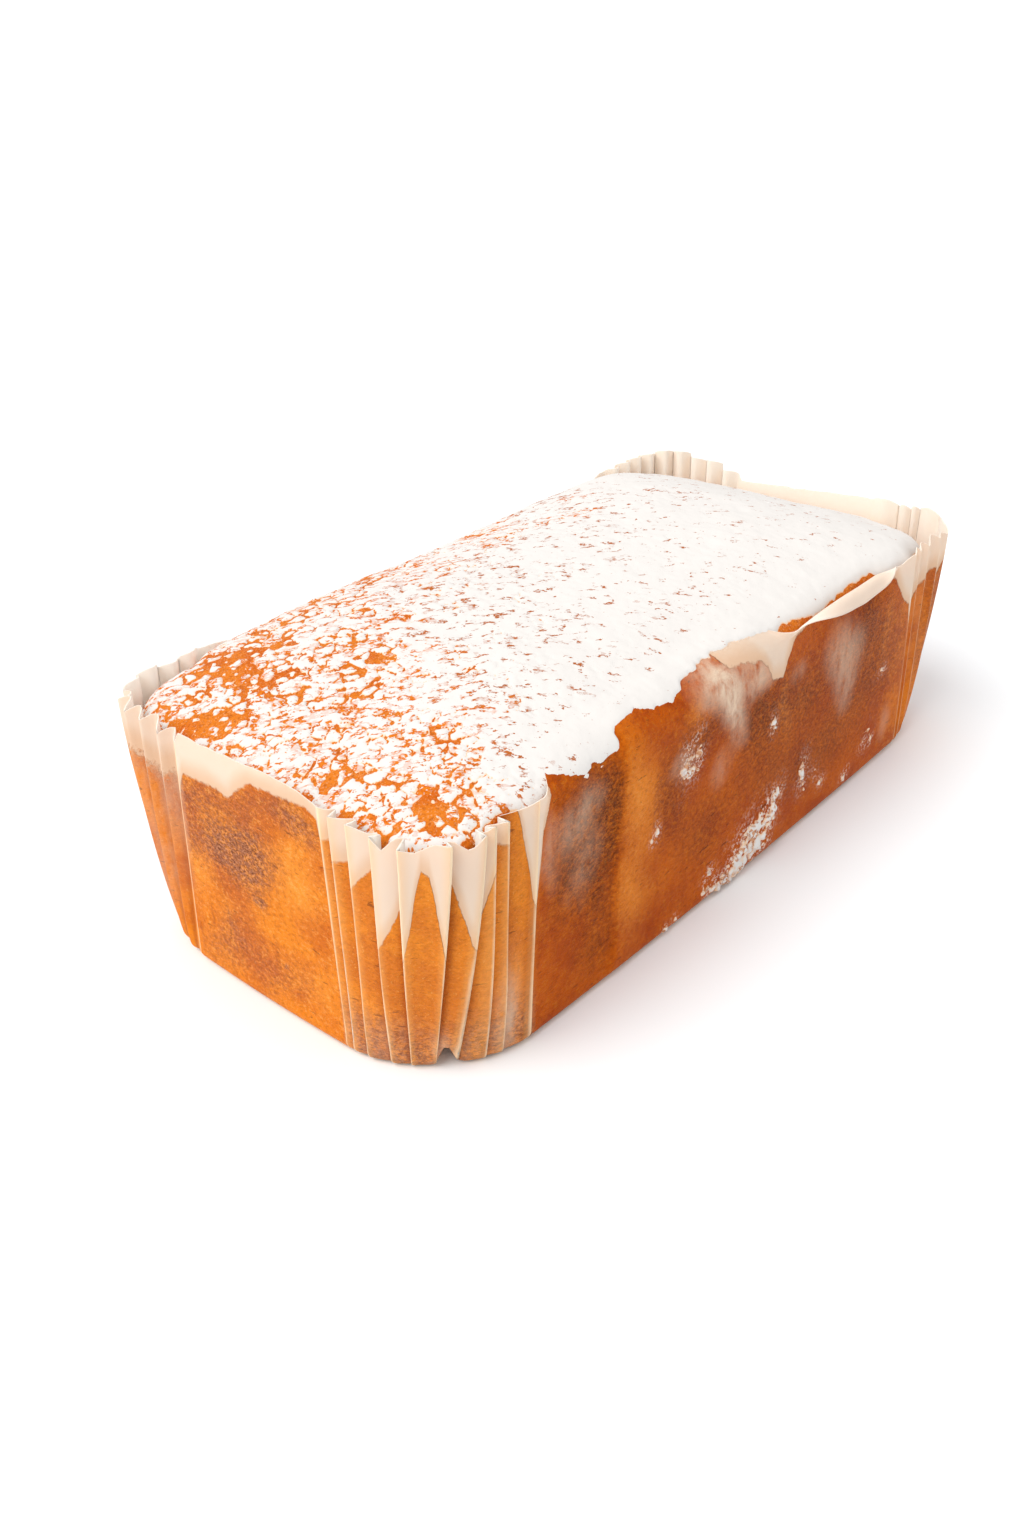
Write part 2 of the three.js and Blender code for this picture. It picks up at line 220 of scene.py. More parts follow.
def fold_profile(index):
    """(share, depth, pleat, place across it, mm from its proud edge) round a corner."""
    profile = []
    folds = EVEN_FOLDS if index in (FAR_END, BACK) else FOLDS
    for i in range(PLEATS):
        start, end = folds[i], folds[i + 1]
        past_start, past_end, shape = pleat_shape(i)
        edge, valley = start + past_start * FOLD_STEP, end + past_end * FOLD_STEP
        for u, depth in shape:
            near_start, near_end = (w * (end - start) * CORNER_RUN for w in (u, 1 - u))
            near = near_start if i < CENTRE_FOLD else near_end
            if i == CENTRE_FOLD:
                near = min(near_start, near_end)
            if index != SHARP_CORNER:
                depth = SOFT_DEPTHS[index] * math.sin(math.pi * u) ** 1.4
                edge, valley = start, end - 0.002
                creased = index == NEAR_LONG or (index == BACK and i == PLEATS - 1 and u > 0.5)
                near = near if creased else NO_FOLD
            profile.append((edge + u * (valley - edge), depth, i, u, near))
    return np.array(profile)


# ---------------- the paper's soaked part and its rim

# Heights up to which the paper is soaked: each pleat of the near corner, by the place across it.
NEAR_SOAK = (
    ((0, 55), (1, 56)),
    ((0, 51), (1, 52)),
    ((0, 46), (0.4, 50), (1, 54)),
    ((0, 34), (0.35, 38), (0.7, 43), (1, 50)),
    ((0, 33), (0.2, 42), (0.32, 52), (0.42, 56), (0.55, 56), (0.68, 50), (0.85, 40), (1, 33)),
    ((0, 54), (0.3, 48), (0.6, 42), (0.85, 37), (1, 34)),
    ((0, 36), (0.5, 45), (1, 52)),
    ((0, 58), (1, 56)),
    ((0, 66), (0.42, 65), (0.55, 56), (0.75, 48), (0.9, 40), (1, 36)),
)
# The near end wall, by mm from its middle towards the near long side.
NEAR_END_SOAK = (
    (-28, 53), (-14, 54.5), (-9, 53.6), (-7, 53), (-4, 56.5), (1, 59.6), (12, 61.2), (19, 61.5), (24, 59),
)
# How much higher or lower than level the two ends' rims are, by -y and by y, and the dip in the back rim.
NEAR_END_RIM = ((-28, 1.9), (-14, 1.6), (0, 1.9), (8, 2.4), (17, 1.9), (22, 0.2))
FAR_END_RIM = ((-24, -0.5), (-8, -1.5), (6, -3.0), (16, -4.5), (22, -5.0))
BACK_DIP = 2.8
# Dips in the near corner's rim: pleat: (place between its folds, depth).
RIM_DIPS = {2: (0.6, 0.7), 3: (0.35, 3.2), 4: (0.28, 1.8), 5: (0.55, 2.4), 6: (0.4, 1.2)}
# Soaked height on the near long wall, by x.
NEAR_SIDE_SOAK = (
    (-80, 52), (-77, 61), (-70, 70), (-12, 70), (-9, 62), (3, 60), (6, 57), (8, 53), (13, 52),
    (15, 56), (18, 60), (55, 66), (70, 58), (76, 50), (80, 47),
)

TUCK = {"start": -79.0, "end": 17.0, "fade": 12.0, "depth": 8.5, "gap": 0.45}
FLAP = {
    "start": 5.0, "end": 71.0, "growth": 40.0, "fade": 13.0, "strip": 5.2,
    "turn": math.radians(158), "radius": 1.3, "lean": 2.0, "lean_height": 9.0,
}
CUFF = 0.9  # the highest part of a wall, which turns out with the flap
RISE_FROM, TUCK_FROM = 0.55, 0.9  # shares of the height from which the rim is raised, and tucked in


def span(x, start, end, fade_in, fade_out):
    return smooth(x, start, start + fade_in) * (1 - smooth(x, end - fade_out, end))


def tuck_at(x):
    return span(x, TUCK["start"], TUCK["end"], TUCK["fade"], TUCK["fade"])


def flap_at(x):
    return span(x, FLAP["start"], FLAP["end"], FLAP["growth"], FLAP["fade"])


# ---------------- the cake's top


def rim_distance(x, y):
    """How far inside the loaf's wall a place in plan is; the loaf stays clear of the pleats."""
    half_x, half_y = HALF_LENGTH - LOAF_GAP, HALF_WIDTH - LOAF_GAP
    qx = np.abs(x) - (half_x - RIM_RADIUS)
    qy = np.abs(y) - (half_y - RIM_RADIUS)
    outside = np.hypot(np.maximum(qx, 0), np.maximum(qy, 0))
    inside = np.minimum(np.maximum(qx, qy), 0)
    corner = smooth(np.minimum(qx + 16, qy + 16), 0, 9)
    east = EAST_GAP * smooth(np.minimum(qx + 16, qy + 16), 4, 26) * (x > 0) * (y < 0)
    return RIM_RADIUS - outside - inside - corner * FOLD_DEPTHS[1] - east - lean_at(x, y)


def lean_at(x, y):
    return FLAP["lean"] * flap_at(x) * smooth(-y, HALF_WIDTH - 16, HALF_WIDTH - 6)


def dome(x, y):
    end = END_FALL * np.abs(x / HALF_LENGTH) ** END_POWER
    side = SIDE_FALL * np.abs(y / HALF_WIDTH) ** SIDE_POWER
    end = end + FAR_EXTRA_FALL * smooth(x, 62, 112) * (0.7 + 0.3 * smooth(y, -40, 30))
    hump = 0.8 * np.exp(-(((x + 52) / 26) ** 2) - ((y - 34) / 22) ** 2)
    return HEIGHT + CROWN_RISE - np.hypot(end, side) + hump


def crust_relief(x, y):
    return 0.5 * rough(x, y, 0, 16, 11, 2) + 0.16 * rough(x, y, 0, 4.2, 21, 3)


def top_height(x, y):
    """Height of the bare crust over a place in plan."""
    depth = np.clip(rim_distance(x, y), 0, None)
    shoulder = 1 - np.minimum(depth / SHOULDER_RADIUS, 1)
    filled = 1 - 0.75 * np.exp(-(((x + 92) / 20) ** 2) - ((y + 50) / 16) ** 2)
    drop = SHOULDER_DROP * filled * (1 - np.sqrt(1 - shoulder**2))
    return dome(x, y) - drop + crust_relief(x, y) * smooth(depth, -2, 4)


# ---------------- mesh building


def placed(name, data):
    """A new object in the scene."""
    made = bpy.data.objects.new(name, data)
    bpy.context.scene.collection.objects.link(made)
    return made


def new_object(name, points, quads, triangles, attributes, material):
    mesh = bpy.data.meshes.new(name)
    faces = np.concatenate([np.ravel(quads), np.ravel(triangles)]).astype(np.int32)
    sizes = np.repeat([4, 3], [len(quads), len(triangles)]).astype(np.int32)
    mesh.vertices.add(len(points))
    mesh.vertices.foreach_set("co", (np.asarray(points) * MM).astype(np.float32).ravel())
    mesh.loops.add(len(faces))
    mesh.loops.foreach_set("vertex_index", faces)
    mesh.polygons.add(len(sizes))
    starts = np.concatenate([[0], np.cumsum(sizes)[:-1]]).astype(np.int32)
    mesh.polygons.foreach_set("loop_start", starts)
    mesh.update(calc_edges=True)
    mesh.validate()
    mesh.polygons.foreach_set("use_smooth", np.ones(len(sizes), bool))
    for key, values in attributes.items():
        layer = mesh.attributes.new(key, "FLOAT", "POINT")
        layer.data.foreach_set("value", np.asarray(values, np.float32).ravel())
    mesh.materials.append(material)
    return placed(name, mesh)


def grid_corners(field):
    """The four corners of each cell of a grid."""
    return field[:-1, :-1], field[1:, :-1], field[1:, 1:], field[:-1, 1:]


def any_corner(field):
    a, b, c, d = grid_corners(field)
    return a | b | c | d


def sheet_object(name, x, y, z, cell, fields, material):
    """A sheet over a grid, made of the cells in `cell` and the points that they use."""
    number = np.arange(x.size).reshape(x.shape)
    quads = np.stack([corner[cell] for corner in grid_corners(number)], axis=1)
    used, renumbered = np.unique(quads, return_inverse=True)
    points = np.stack([x, y, z], axis=-1).reshape(-1, 3)[used]
    attributes = {key: field.ravel()[used] for key, field in fields.items()}
    return new_object(name, points, renumbered.reshape(quads.shape), [], attributes, material)


def ring_quads(lower, upper):
    """Quads between two closed rings of vertex numbers, facing out."""
    a, b = lower, np.roll(lower, -1)
    d, c = upper, np.roll(upper, -1)
    return np.stack([a, b, c, d], axis=1)


def fan(ring, middle, down):
    nxt = np.roll(ring, -1)
    middles = np.full(len(ring), middle)
    order = (middles, nxt, ring) if down else (middles, ring, nxt)
    return np.stack(order, axis=1)


# ---------------- paper liner

FLAT_STEP = 1.15
WALL_STEP = 1.2
BASE_LEVELS = np.array([0, 0.06, 0.2, 0.45, 0.75])  # shares of the base edge's height
CUFF_STEPS = 9
MIDDLE_LEVEL = 40  # a level in the middle of the wall
INSIDE_FROM = 0.62  # share of the levels, above which the inside is seen
LOW_INSIDE_STEP = 6


def flat_steps(side, step):
    """How many steps of about `step` mm the flat of a wall takes at the rim."""
    return int(2 * ((HALF_LENGTH, HALF_WIDTH)[side % 2] - SETBACKS[side % 2]) / step)


def liner_stations():
    """Rows of side, whether on its corner, share, depth, pleat, place across it and mm from its edge."""
    rows = []
    for side in range(4):
        steps = flat_steps(side, FLAT_STEP)
        for i in range(1, steps):
            rows.append((side, 0, i / steps, 0, -1, 0, NO_FOLD))
        for profile in fold_profile(side):
            rows.append((side, 1, *profile))
    return np.array(rows)


def fold_shift(side, on_corner, share):
    """How far round the near corner a place moves from the rim to the base."""
    moves = [low - high for low, high in zip(NEAR_FOLDS_LOW, FOLDS)]
    shift = np.interp(share, (*FOLDS, 1), (*moves, 0))
    return np.where((side == NEAR_END) & (on_corner > 0), shift, 0)


def notch_at(share, level):
    """How strongly the arch in the near corner's base edge lifts a place."""
    return np.exp(-(((share - NOTCH[0]) / NOTCH[1]) ** 2)) * max(0, 1 - level / NOTCH_FADE)


def pleat_lifts(index):
    """How much higher or lower than the rim each pleat's top edge is."""
    lifts = np.random.default_rng(40 + index).uniform(-0.7, 0.9, len(FOLDS))
    if index == FAR_END:
        lifts[:2] -= (3.2, 0.8)  # the first two go down to the far end's lower rim
    return lifts


def picked(plan, on):
    """The plan at some of the stations only."""
    return {
        key: [v[on] for v in value] if isinstance(value, (list, tuple)) else value[on]
        for key, value in plan.items()
    }


def outline(plan, side, on_corner, share, inset):
    """Stations' x and y, `inset` inside the walls and corners."""
    x, y = np.zeros(len(side)), np.zeros(len(side))
    for s in range(4):
        on = (side == s) & (on_corner == 0)
        here = picked(plan, on)
        flat = here["halves"][s % 2] - here["setbacks"][s % 2]
        x[on], y[on] = wall_point(here, s, flat * (2 * share[on] - 1), inset[on])
        on = (side == s) & (on_corner > 0)
        x[on], y[on] = corner_point(picked(plan, on), s, share[on], inset[on])
    return x, y


def base_inset(level):
    """How far in the rounded edge of the base is at a height."""
    edge = min(level / BASE_EDGE, 1)
    return BASE_EDGE * (1 - math.sqrt(edge * (2 - edge)))


def liner_surface():
    """Stations by levels: the outer face of the paper with a plain rim, and how strong its pleats are."""
    rows = liner_stations()
    side, on_corner, share, depth, fold, u, near = rows.T
    wall = np.linspace(BASE_EDGE, HEIGHT - CUFF, int((HEIGHT - BASE_EDGE) / WALL_STEP))
    levels = np.concatenate([BASE_EDGE * BASE_LEVELS, wall])
    x = np.zeros((len(rows), len(levels) + CUFF_STEPS))
    y, z = np.zeros_like(x), np.zeros_like(x)
    rim_share = np.minimum(share, 1 - share)
    amount = np.where(on_corner > 0, np.clip((rim_share + 0.03) / 0.1, 0, 1), 0)
    for j, level in enumerate(levels):
        height = np.full(len(rows), level)
        plan = plan_at(height)
        moved = share + fold_shift(side, on_corner, share) * (1 - level / HEIGHT) ** 1.2
        deep = base_inset(level) + depth * amount * plan["depth"]
        x[:, j], y[:, j] = outline(plan, side, on_corner, moved, deep)
        near_corner = (side == SHARP_CORNER) & (on_corner > 0)
        notch = np.where(near_corner, notch_at(moved, level), 0)
        z[:, j] = height + NOTCH[2] * notch
        x[:, j] *= 1 - 0.02 * notch
        y[:, j] *= 1 - 0.04 * notch
    return rows, x, y, z, levels, amount


def rim_rise(rows, x, y):
    """How much higher or lower than a level rim the paper's top edge is."""
    side, on_corner, share, depth, fold, u, near = rows.T
    flat = on_corner == 0
    rise = 0.45 * noise(x, y, 0, 14, 5) + 0.2 * noise(x, y, 0, 3, 6)
    rise = rise + np.where((side == NEAR_END) & flat, keyed(NEAR_END_RIM, -y), 0)
    rise = rise + np.where((side == FAR_END) & flat, keyed(FAR_END_RIM, y), 0)
    back_dip = BACK_DIP * smooth(x, -78, -60) * (1 - smooth(x, 72, 82))
    rise = rise - np.where((side == BACK) & flat, back_dip, 0)
    rise = rise + np.where((side != SHARP_CORNER) & ~flat, 1.5 * np.sin(math.pi * u) - 0.7, 0)
    for corner in range(4):
        here = (side == corner) & ~flat
        rise[here] += pleat_lifts(corner)[fold[here].astype(int)]
    for pleat, (at, dip) in RIM_DIPS.items():
        here = (side == SHARP_CORNER) & ~flat & (fold == pleat)
        rise[here] -= dip * np.maximum(0, 1 - np.abs(u[here] - at) / 0.4)
    return rise


def shape_rim(rows, x, y, z, levels):
    """Raises the rim, leans and turns out the flap, and tucks in the rest of the near long side's rim."""
    first = len(levels)
    wall_x, wall_y = x[:, first - 1].copy(), y[:, first - 1].copy()
    near_wall = (rows[:, 0] == NEAR_LONG) & (rows[:, 1] == 0)
    flap = np.where(near_wall, flap_at(wall_x), 0)
    tuck = np.where(near_wall, tuck_at(wall_x), 0)
    rise = rim_rise(rows, wall_x, wall_y) * (1 - flap) * (1 - tuck)
    z[:, :first] += rise[:, None] * smooth(levels, HEIGHT * RISE_FROM, HEIGHT)[None, :]
    top = HEIGHT - CUFF
    y[:, :first] += FLAP["lean"] * flap[:, None] * smooth(levels, top - FLAP["lean_height"], top)[None, :]
    turn = FLAP["turn"] * flap
    ragged = 1 + 0.05 * noise(wall_x, 0, 0, 12, 61) + 0.03 * noise(wall_x, 0, 0, 4, 62)
    for j in range(first, first + CUFF_STEPS):
        part = (j - first + 1) / CUFF_STEPS
        length = (CUFF + FLAP["strip"] * flap * ragged) * part
        bent = np.minimum(length / FLAP["radius"], turn)
        straight = length - bent * FLAP["radius"]
        outward = FLAP["radius"] * (1 - np.cos(bent)) + straight * np.sin(bent)
        crease = 0.25 * flap * part * noise(wall_x, 0, 0, 5, 63)
        x[:, j] = wall_x
        y[:, j] = y[:, first - 1] - (outward + crease)
        z[:, j] = z[:, first - 1] + (FLAP["radius"] * np.sin(bent) + straight * np.cos(bent))
    lowest, last = int(np.argmax(levels > HEIGHT * TUCK_FROM)), first + CUFF_STEPS - 1
    for j in range(lowest, last + 1):
        deep = TUCK["depth"] * (j - lowest) / (last - lowest)
        over = min(deep / SHOULDER_RADIUS, 1)
        on_shoulder = -(HALF_WIDTH - LOAF_GAP) + deep
        height = top_height(wall_x, on_shoulder) + TUCK["gap"] * math.sqrt(over)
        out = on_shoulder - TUCK["gap"] * math.sqrt(1 - over**2)
        y[:, j] += (out - y[:, j]) * tuck
        z[:, j] += (height - z[:, j]) * tuck
    return flap


def wall_push(x, y, z):
    """How far the wall stands out of its plain shape."""
    push = 0.45 * rough(x, y, z * 0.6, 30, 71, 2) + 0.14 * rough(x, y, z * 0.5, 7, 75, 3)
    near_side = smooth(-y, HALF_WIDTH - 12, HALF_WIDTH - 8)
    crease = smooth(x - band_edge(z), -0.8, 0.8) * (1 - smooth(x - band_edge(z), 1, 16))
    low_crease = smooth(x, 5, 11) * (1 - smooth(x, 12.6, 13.6)) * (1 - smooth(z, 8, 24))
    push = push + near_side * (0.7 * crease + 1.1 * low_crease)
    return push * smooth(z, 0.2, 6)


def wrinkle(rows, x, y, z):
    """The walls follow the cake's slightly uneven sides."""
    side, on_corner, share = rows.T[:3]
    push = wall_push(x, y, z) * np.where(on_corner > 0, 0.6, 1)[:, None]
    for s in range(4):
        run, out = run_and_out(s)
        after = run_and_out((s + 1) % 4)[1]
        here = side == s
        blend = np.where(on_corner > 0, smooth(share, 0.25, 0.75), 0)[here][:, None]
        x[here] += push[here] * (out[0] * (1 - blend) + after[0] * blend)
        y[here] += push[here] * (out[1] * (1 - blend) + after[1] * blend)


def soaked_up_to(rows, x, y):
    """Height up to which the paper lies on the cake and is soaked, at each station."""
    side, on_corner, share, depth, fold, u, near = rows.T
    wall_x, wall_y = x[:, MIDDLE_LEVEL], y[:, MIDDLE_LEVEL]
    soak = 50 + 4 * noise(wall_x, wall_y, 0, 12, 31) + 2 * noise(wall_x, wall_y, 0, 4, 32)
    flat = on_corner == 0
    soak = np.where((side == NEAR_END) & flat, keyed(NEAR_END_SOAK, -wall_y), soak)
    soak = np.where((side == NEAR_LONG) & flat, keyed(NEAR_SIDE_SOAK, wall_x), soak)
    for corner in range(4):
        random = np.random.default_rng(90 + corner)
        for i in range(PLEATS):
            here = (side == corner) & (on_corner > 0) & (fold == i)
            keys = NEAR_SOAK[i] if corner == SHARP_CORNER else random_soak(random, i)
            soak[here] = keyed(keys, u[here])
    return soak


def random_soak(random, i):
    high = random.uniform(48, 56)
    low = high - random.uniform(4, 14)
    if i < CENTRE_FOLD:
        return ((0, low), (0.6, (low + high) / 2 + 2), (1, high))
    if i == CENTRE_FOLD:
        return ((0, low), (0.35, high), (0.65, high), (1, low))
    return ((0, high), (0.4, (low + high) / 2 + 2), (1, low))


def above_soak(rows, x, y, z, first, flap):
    """mm above the soaked paper's edge, drawn out at the corner left of the near end; the flap is dry."""
    side, on_corner = rows.T[:2, :, None]
    above = z - soaked_up_to(rows, x, y)[:, None] + 0.8 * rough(x, y, z, 5, 401, 3)
    size = np.abs(above)
    soft = np.sign(above) * np.where(size < 4, size / 4, size - 3)
    above = np.where((side == BACK) & (on_corner > 0), soft, above)
    turned_out = (np.arange(z.shape[1]) >= first) & (flap[:, None] > 0.05)
    return np.where(turned_out, 9, above)


def surface_normals(x, y, z):
    points = np.stack([x, y, z], axis=-1)
    round_way = np.roll(points, -1, axis=0) - np.roll(points, 1, axis=0)
    up_way = np.gradient(points, axis=1)
    normal = np.cross(round_way, up_way)
    return normal / np.maximum(np.linalg.norm(normal, axis=-1, keepdims=True), 1e-9)


# Soft patches on the two walls that face the camera: (place along the wall, height, half width,
# half height, slant, strength). The near end is given by -y, the near long side by x.
END_PATCHES = {
    "brown": (
        (-8, 40, 14, 10, 0.2, 0.9), (-6, 38, 8, 6, 0.2, 0.7), (-20, 50, 9, 4, 0.2, 0.35),
        (15, 57, 7, 5, -0.4, 0.6), (-14, 12, 7, 14, 0.5, 0.3), (2, 12, 18, 9, 0.2, 0.38),
        (0, 55, 18, 4, 0, 0.35), (-24, 38, 4, 12, 0.1, 0.3), (-0.2, 29.4, 1.5, 0.9, 0.4, 2.0),
        (7, 16.3, 0.9, 0.6, 0.2, 1.6), (-9.5, 17.8, 0.7, 4.5, -0.59, 0.45),
    ),
    "bright": (
        (13, 42, 9, 12, 0.1, 0.75), (-22, 27, 5, 9, 0.2, 0.7), (18, 14, 9, 12, 0, 0.45),
        (-4, 22, 12, 6, 0, 0.25),
    ),
    "haze": ((-26, 31, 4, 12, 0, 0.1),),
}
SIDE_PATCHES = {
    "brown": (
        (-66, 44, 11, 16, 0.1, 0.95), (-57, 50, 6, 12, -0.1, 0.6), (-59, 30, 7, 14, -0.1, 0.45),
        (-34, 40, 9, 12, 0, 0.55), (-20, 52, 12, 8, 0, 0.6), (-19, 24, 12, 12, 0, 0.45),
        (4, 46, 12, 12, 0, 0.75), (24, 44, 14, 10, 0, 0.55), (60, 34, 24, 16, 0, 0.6),
        (32, 20, 20, 10, 0, 0.5), (-60, 12, 10, 8, 0, 0.4), (54, 50, 16, 8, 0, 0.6),
        (10, 28, 16, 10, 0, 0.35),
    ),
    "bright": (
        (-46, 47, 7.5, 17, -0.2, 1.0), (-50, 22, 6.5, 16, -0.15, 0.8), (-24, 57, 5, 4, 0, 0.55),
        (15, 44, 2.5, 12, -0.1, 0.6), (-73, 6, 5, 8, 0, 0.35), (67, 42, 3, 16, 0, 0.5),
        (-38, 18, 10, 8, 0, 0.3), (8, 8, 4, 10, 0, 0.35),
    ),
    "haze": (
        (-67, 52, 7, 6, 0.5, 0.42), (-65, 38, 8, 11, 0.2, 0.3), (-14, 60, 9, 6, -0.5, 0.95),
        (-8, 51, 4, 9, -0.4, 0.9), (-13, 37, 6, 6, 0, 0.3), (2, 57, 8, 5, 0, 0.7), (-29, 46, 6, 6, 0, 0.4),
        (44, 47, 10, 11, -0.3, 0.5), (47, 34, 6, 8, 0, 0.3), (74, 12, 4, 8, 0, 0.3),
        (-77, 50, 3, 12, 0, 0.3), (20, 50, 5, 5, 0, 0.3),
    ),
}
# The other walls and the near corner: how strong each field is, all over and low down.
LOOSE_PATCHES = {"brown": 0.7, "bright": 0.5, "haze": 0.25}
NEAR_CORNER_FIELD = {"brown": 0.12, "bright": 0.35, "haze": 0.0}
NEAR_CORNER_FOOT = {"brown": 0.55, "bright": 0, "haze": 0.15}


def patch_field(patches, along, z, seed):
    total = 0
    bent_along = along + 2.5 * rough(along, z, 0, 9, seed, 3)
    bent_z = z + 3.5 * rough(along, z, 0, 11, seed + 7, 3)
    for place, height, wide, tall, slant, strength in patches:
        dz = bent_z - height
        dx = bent_along - place - slant * dz
        total = total + strength * np.exp(-((dx / wide) ** 2) - (dz / tall) ** 2)
    return np.clip(1.12 * total - 0.12, 0, 1)


def band_edge(z):
    """Where, by x, a crease runs down the near long side: browned to its left, bright to its right."""
    return -51.5 - 0.07 * (HEIGHT - 5 - z) + 0.8 * noise(z, 0, 0, 7, 651) + 0.4 * noise(z, 0, 0, 2.5, 652)


def near_corner_field(key, share, z, spread):
    foot = NEAR_CORNER_FOOT[key] * (1 - smooth(z, 6, 20)) * smooth(spread, 0.2, 0.6)
    field = foot + NEAR_CORNER_FIELD[key]
    if key == "haze":
        field = field + 0.6 * np.exp(-(((share - 0.86) / 0.06) ** 2) - ((z - 12) / 11) ** 2)
        field = field + 0.5 * np.exp(-(((share - 0.6) / 0.08) ** 2) - ((z - 5) / 5) ** 2)
    return np.clip(field, 0, 1)


def liner_patches(rows, x, y, z):
    """How brown, bright and hazy the soaked paper is, from 0 to 1."""
    side, on_corner, share = rows.T[:3, :, None]
    corner = on_corner > 0
    fields = {}
    for number, key in enumerate(LOOSE_PATCHES):
        spread = 0.5 + 0.5 * rough(x, y, z * 0.5, 24, 130 + 9 * number, 3)
        other = LOOSE_PATCHES[key] * smooth(spread, 0.45, 0.75)
        end = patch_field(END_PATCHES[key], -y, z, 200 + number)
        near = patch_field(SIDE_PATCHES[key], x, z, 300 + number)
        right = smooth(x - band_edge(z), -0.7, 0.7)
        if key == "bright":
            near = near * np.where(x < -30, right, 1)
        elif key == "brown":
            near = near * np.where(x < -40, 1 - 0.8 * right, 1)
        else:
            other = other + np.where((side == BACK) & corner, 0.25 * smooth(z, 22, 50), 0)
        field = np.where(side == NEAR_END, end, np.where(side == NEAR_LONG, near, other))
        field = np.where((side == SHARP_CORNER) & corner, near_corner_field(key, share, z, spread), field)
        fields[key] = np.where((side == NEAR_LONG) & corner, 0.6 * other, field)
    return fields


def browned_and_shaded_side(side, on_corner, share):
    """1 on the near long side, which has browned more and is darkened with painted shade, 0 on the near
    end.
    """
    near_long = (side == NEAR_LONG) & (on_corner == 0)
    along = 1 - 0.5 * smooth(share, 0.9, 1)
    from_near_corner = np.where((side == NEAR_END) & (on_corner > 0), smooth(share, 0.93, 0.99), 0)
    to_far_corner = np.where((side == NEAR_LONG) & (on_corner > 0), 0.5 * (1 - share), 0)
    return np.where(near_long, along, np.maximum(from_near_corner, to_far_corner))


def paper_liner(material):
    rows, x, y, z, levels, amount = liner_surface()
    flap = shape_rim(rows, x, y, z, levels)
    wrinkle(rows, x, y, z)
    stations, heights = x.shape
    outer = np.stack([x, y, z], axis=-1)
    # The inside is only seen near the rim, so lower down it keeps few levels.
    seen_from = int(INSIDE_FROM * heights)
    kept = [*range(0, seen_from, LOW_INSIDE_STEP), *range(seen_from, heights)]
    inner = (outer - PAPER * surface_normals(x, y, z))[:, kept]
    inner[:, 0, 2] = np.maximum(inner[:, 0, 2], PAPER)
    middles = np.array([[0, 0, 0.0], [0, 0, PAPER]])
    points = np.concatenate([outer.reshape(-1, 3), inner.reshape(-1, 3), middles])
    outside = np.arange(stations * heights).reshape(stations, heights)
    inside = outside.size + np.arange(stations * len(kept)).reshape(stations, len(kept))
    quads = [ring_quads(outside[:, j - 1], outside[:, j]) for j in range(1, heights)]
    quads += [ring_quads(inside[:, j], inside[:, j - 1]) for j in range(1, len(kept))]
    quads.append(ring_quads(outside[:, -1], inside[:, -1]))
    triangles = np.concatenate([
        fan(outside[:, 0], len(points) - 2, True), fan(inside[:, 0], len(points) - 1, False),
    ])

    def both(field, inner_value=0.0, middle=-99.0):
        """A field on the outer face, then its values on the inner face and in the base's two middles."""
        inner_field = np.full(inside.shape, inner_value)
        return np.concatenate([np.broadcast_to(field, z.shape).ravel(), inner_field.ravel(), [middle] * 2])

    side, on_corner, share, depth, fold, u, near = rows.T[:, :, None]
    corner = on_corner > 0
    fields = liner_patches(rows, x, y, z)
    dust = np.where((side == NEAR_LONG) & ~corner, dust_field(x, z), 0)
    # The inner face is painted a lighter cream, painted light standing in for light through the paper: less
    # of it along the flap, and a third less towards the far end.
    inside_painted_light = (1 - 0.8 * flap[:, None]) * (1 - 0.35 * smooth(x[:, MIDDLE_LEVEL, None], 0, 60))
    flat = np.where(corner, 0.3, 1.0)
    attributes = {
        "dust": both(dust),
        "inside": both(0.0, inside_painted_light, 0.0),
        "flat": both(flat, flat),
        "browned_and_shaded": both(browned_and_shaded_side(side, on_corner, share)),
        "above_soak": both(above_soak(rows, x, y, z, len(levels), flap), 9.0),
        "fold_mm": both(np.where(corner, near, NO_FOLD), NO_FOLD),
        "valley": both(np.where(corner, depth * amount[:, None], 0)),
        **{key: both(field) for key, field in fields.items()},
    }
    return new_object("paper", points, np.concatenate(quads), triangles, attributes, material)


# ---------------- sugar spilled on the near long wall

# (x, height, half width, half height, slant)
SPILLS = (
    (3.5, 9, 4.4, 4.0, 0.4), (4.5, 8.5, 2.8, 3.4, 0.4), (0.5, 5.5, 2.4, 2.4, 0.3), (-4, 4.2, 3.4, 2.6, 0.3),
    (-9, 2.8, 3.2, 1.6, 0.3), (-16.5, 4.5, 1.6, 1.4, 0), (-16, 9, 0.9, 1.0, 0), (11.5, 14, 1.6, 2.2, 0.4),
    (14, 17.5, 1.5, 1.8, 0.3), (27, 18.5, 1.2, 2.4, 0.2), (29.5, 13, 1.5, 1.2, 0), (34, 15, 0.9, 1.4, 0),
    (38, 9.5, 1.0, 1.0, 0), (62.5, 13.5, 1.3, 2.2, 0.2), (66, 11.5, 0.8, 1.4, 0), (67, 31.5, 1.4, 0.8, 0),
    (-26, 46.5, 2.0, 3.0, 0.2), (-29, 44, 1.0, 2.0, 0.2), (-23, 45.5, 0.8, 2.4, 0), (52, 5, 1.2, 1.2, 0),
    (-38.5, 33, 0.7, 1.2, 0), (-41, 31, 0.5, 0.8, 0), (-30, 3, 0.8, 0.7, 0), (-34, 2.4, 0.6, 0.5, 0),
    (10, 40, 0.8, 1.8, 0),
)
SPILL_STEP = 0.4
SPILL_SUNK = -0.25  # how deep in the wall the sheet is where there is no sugar


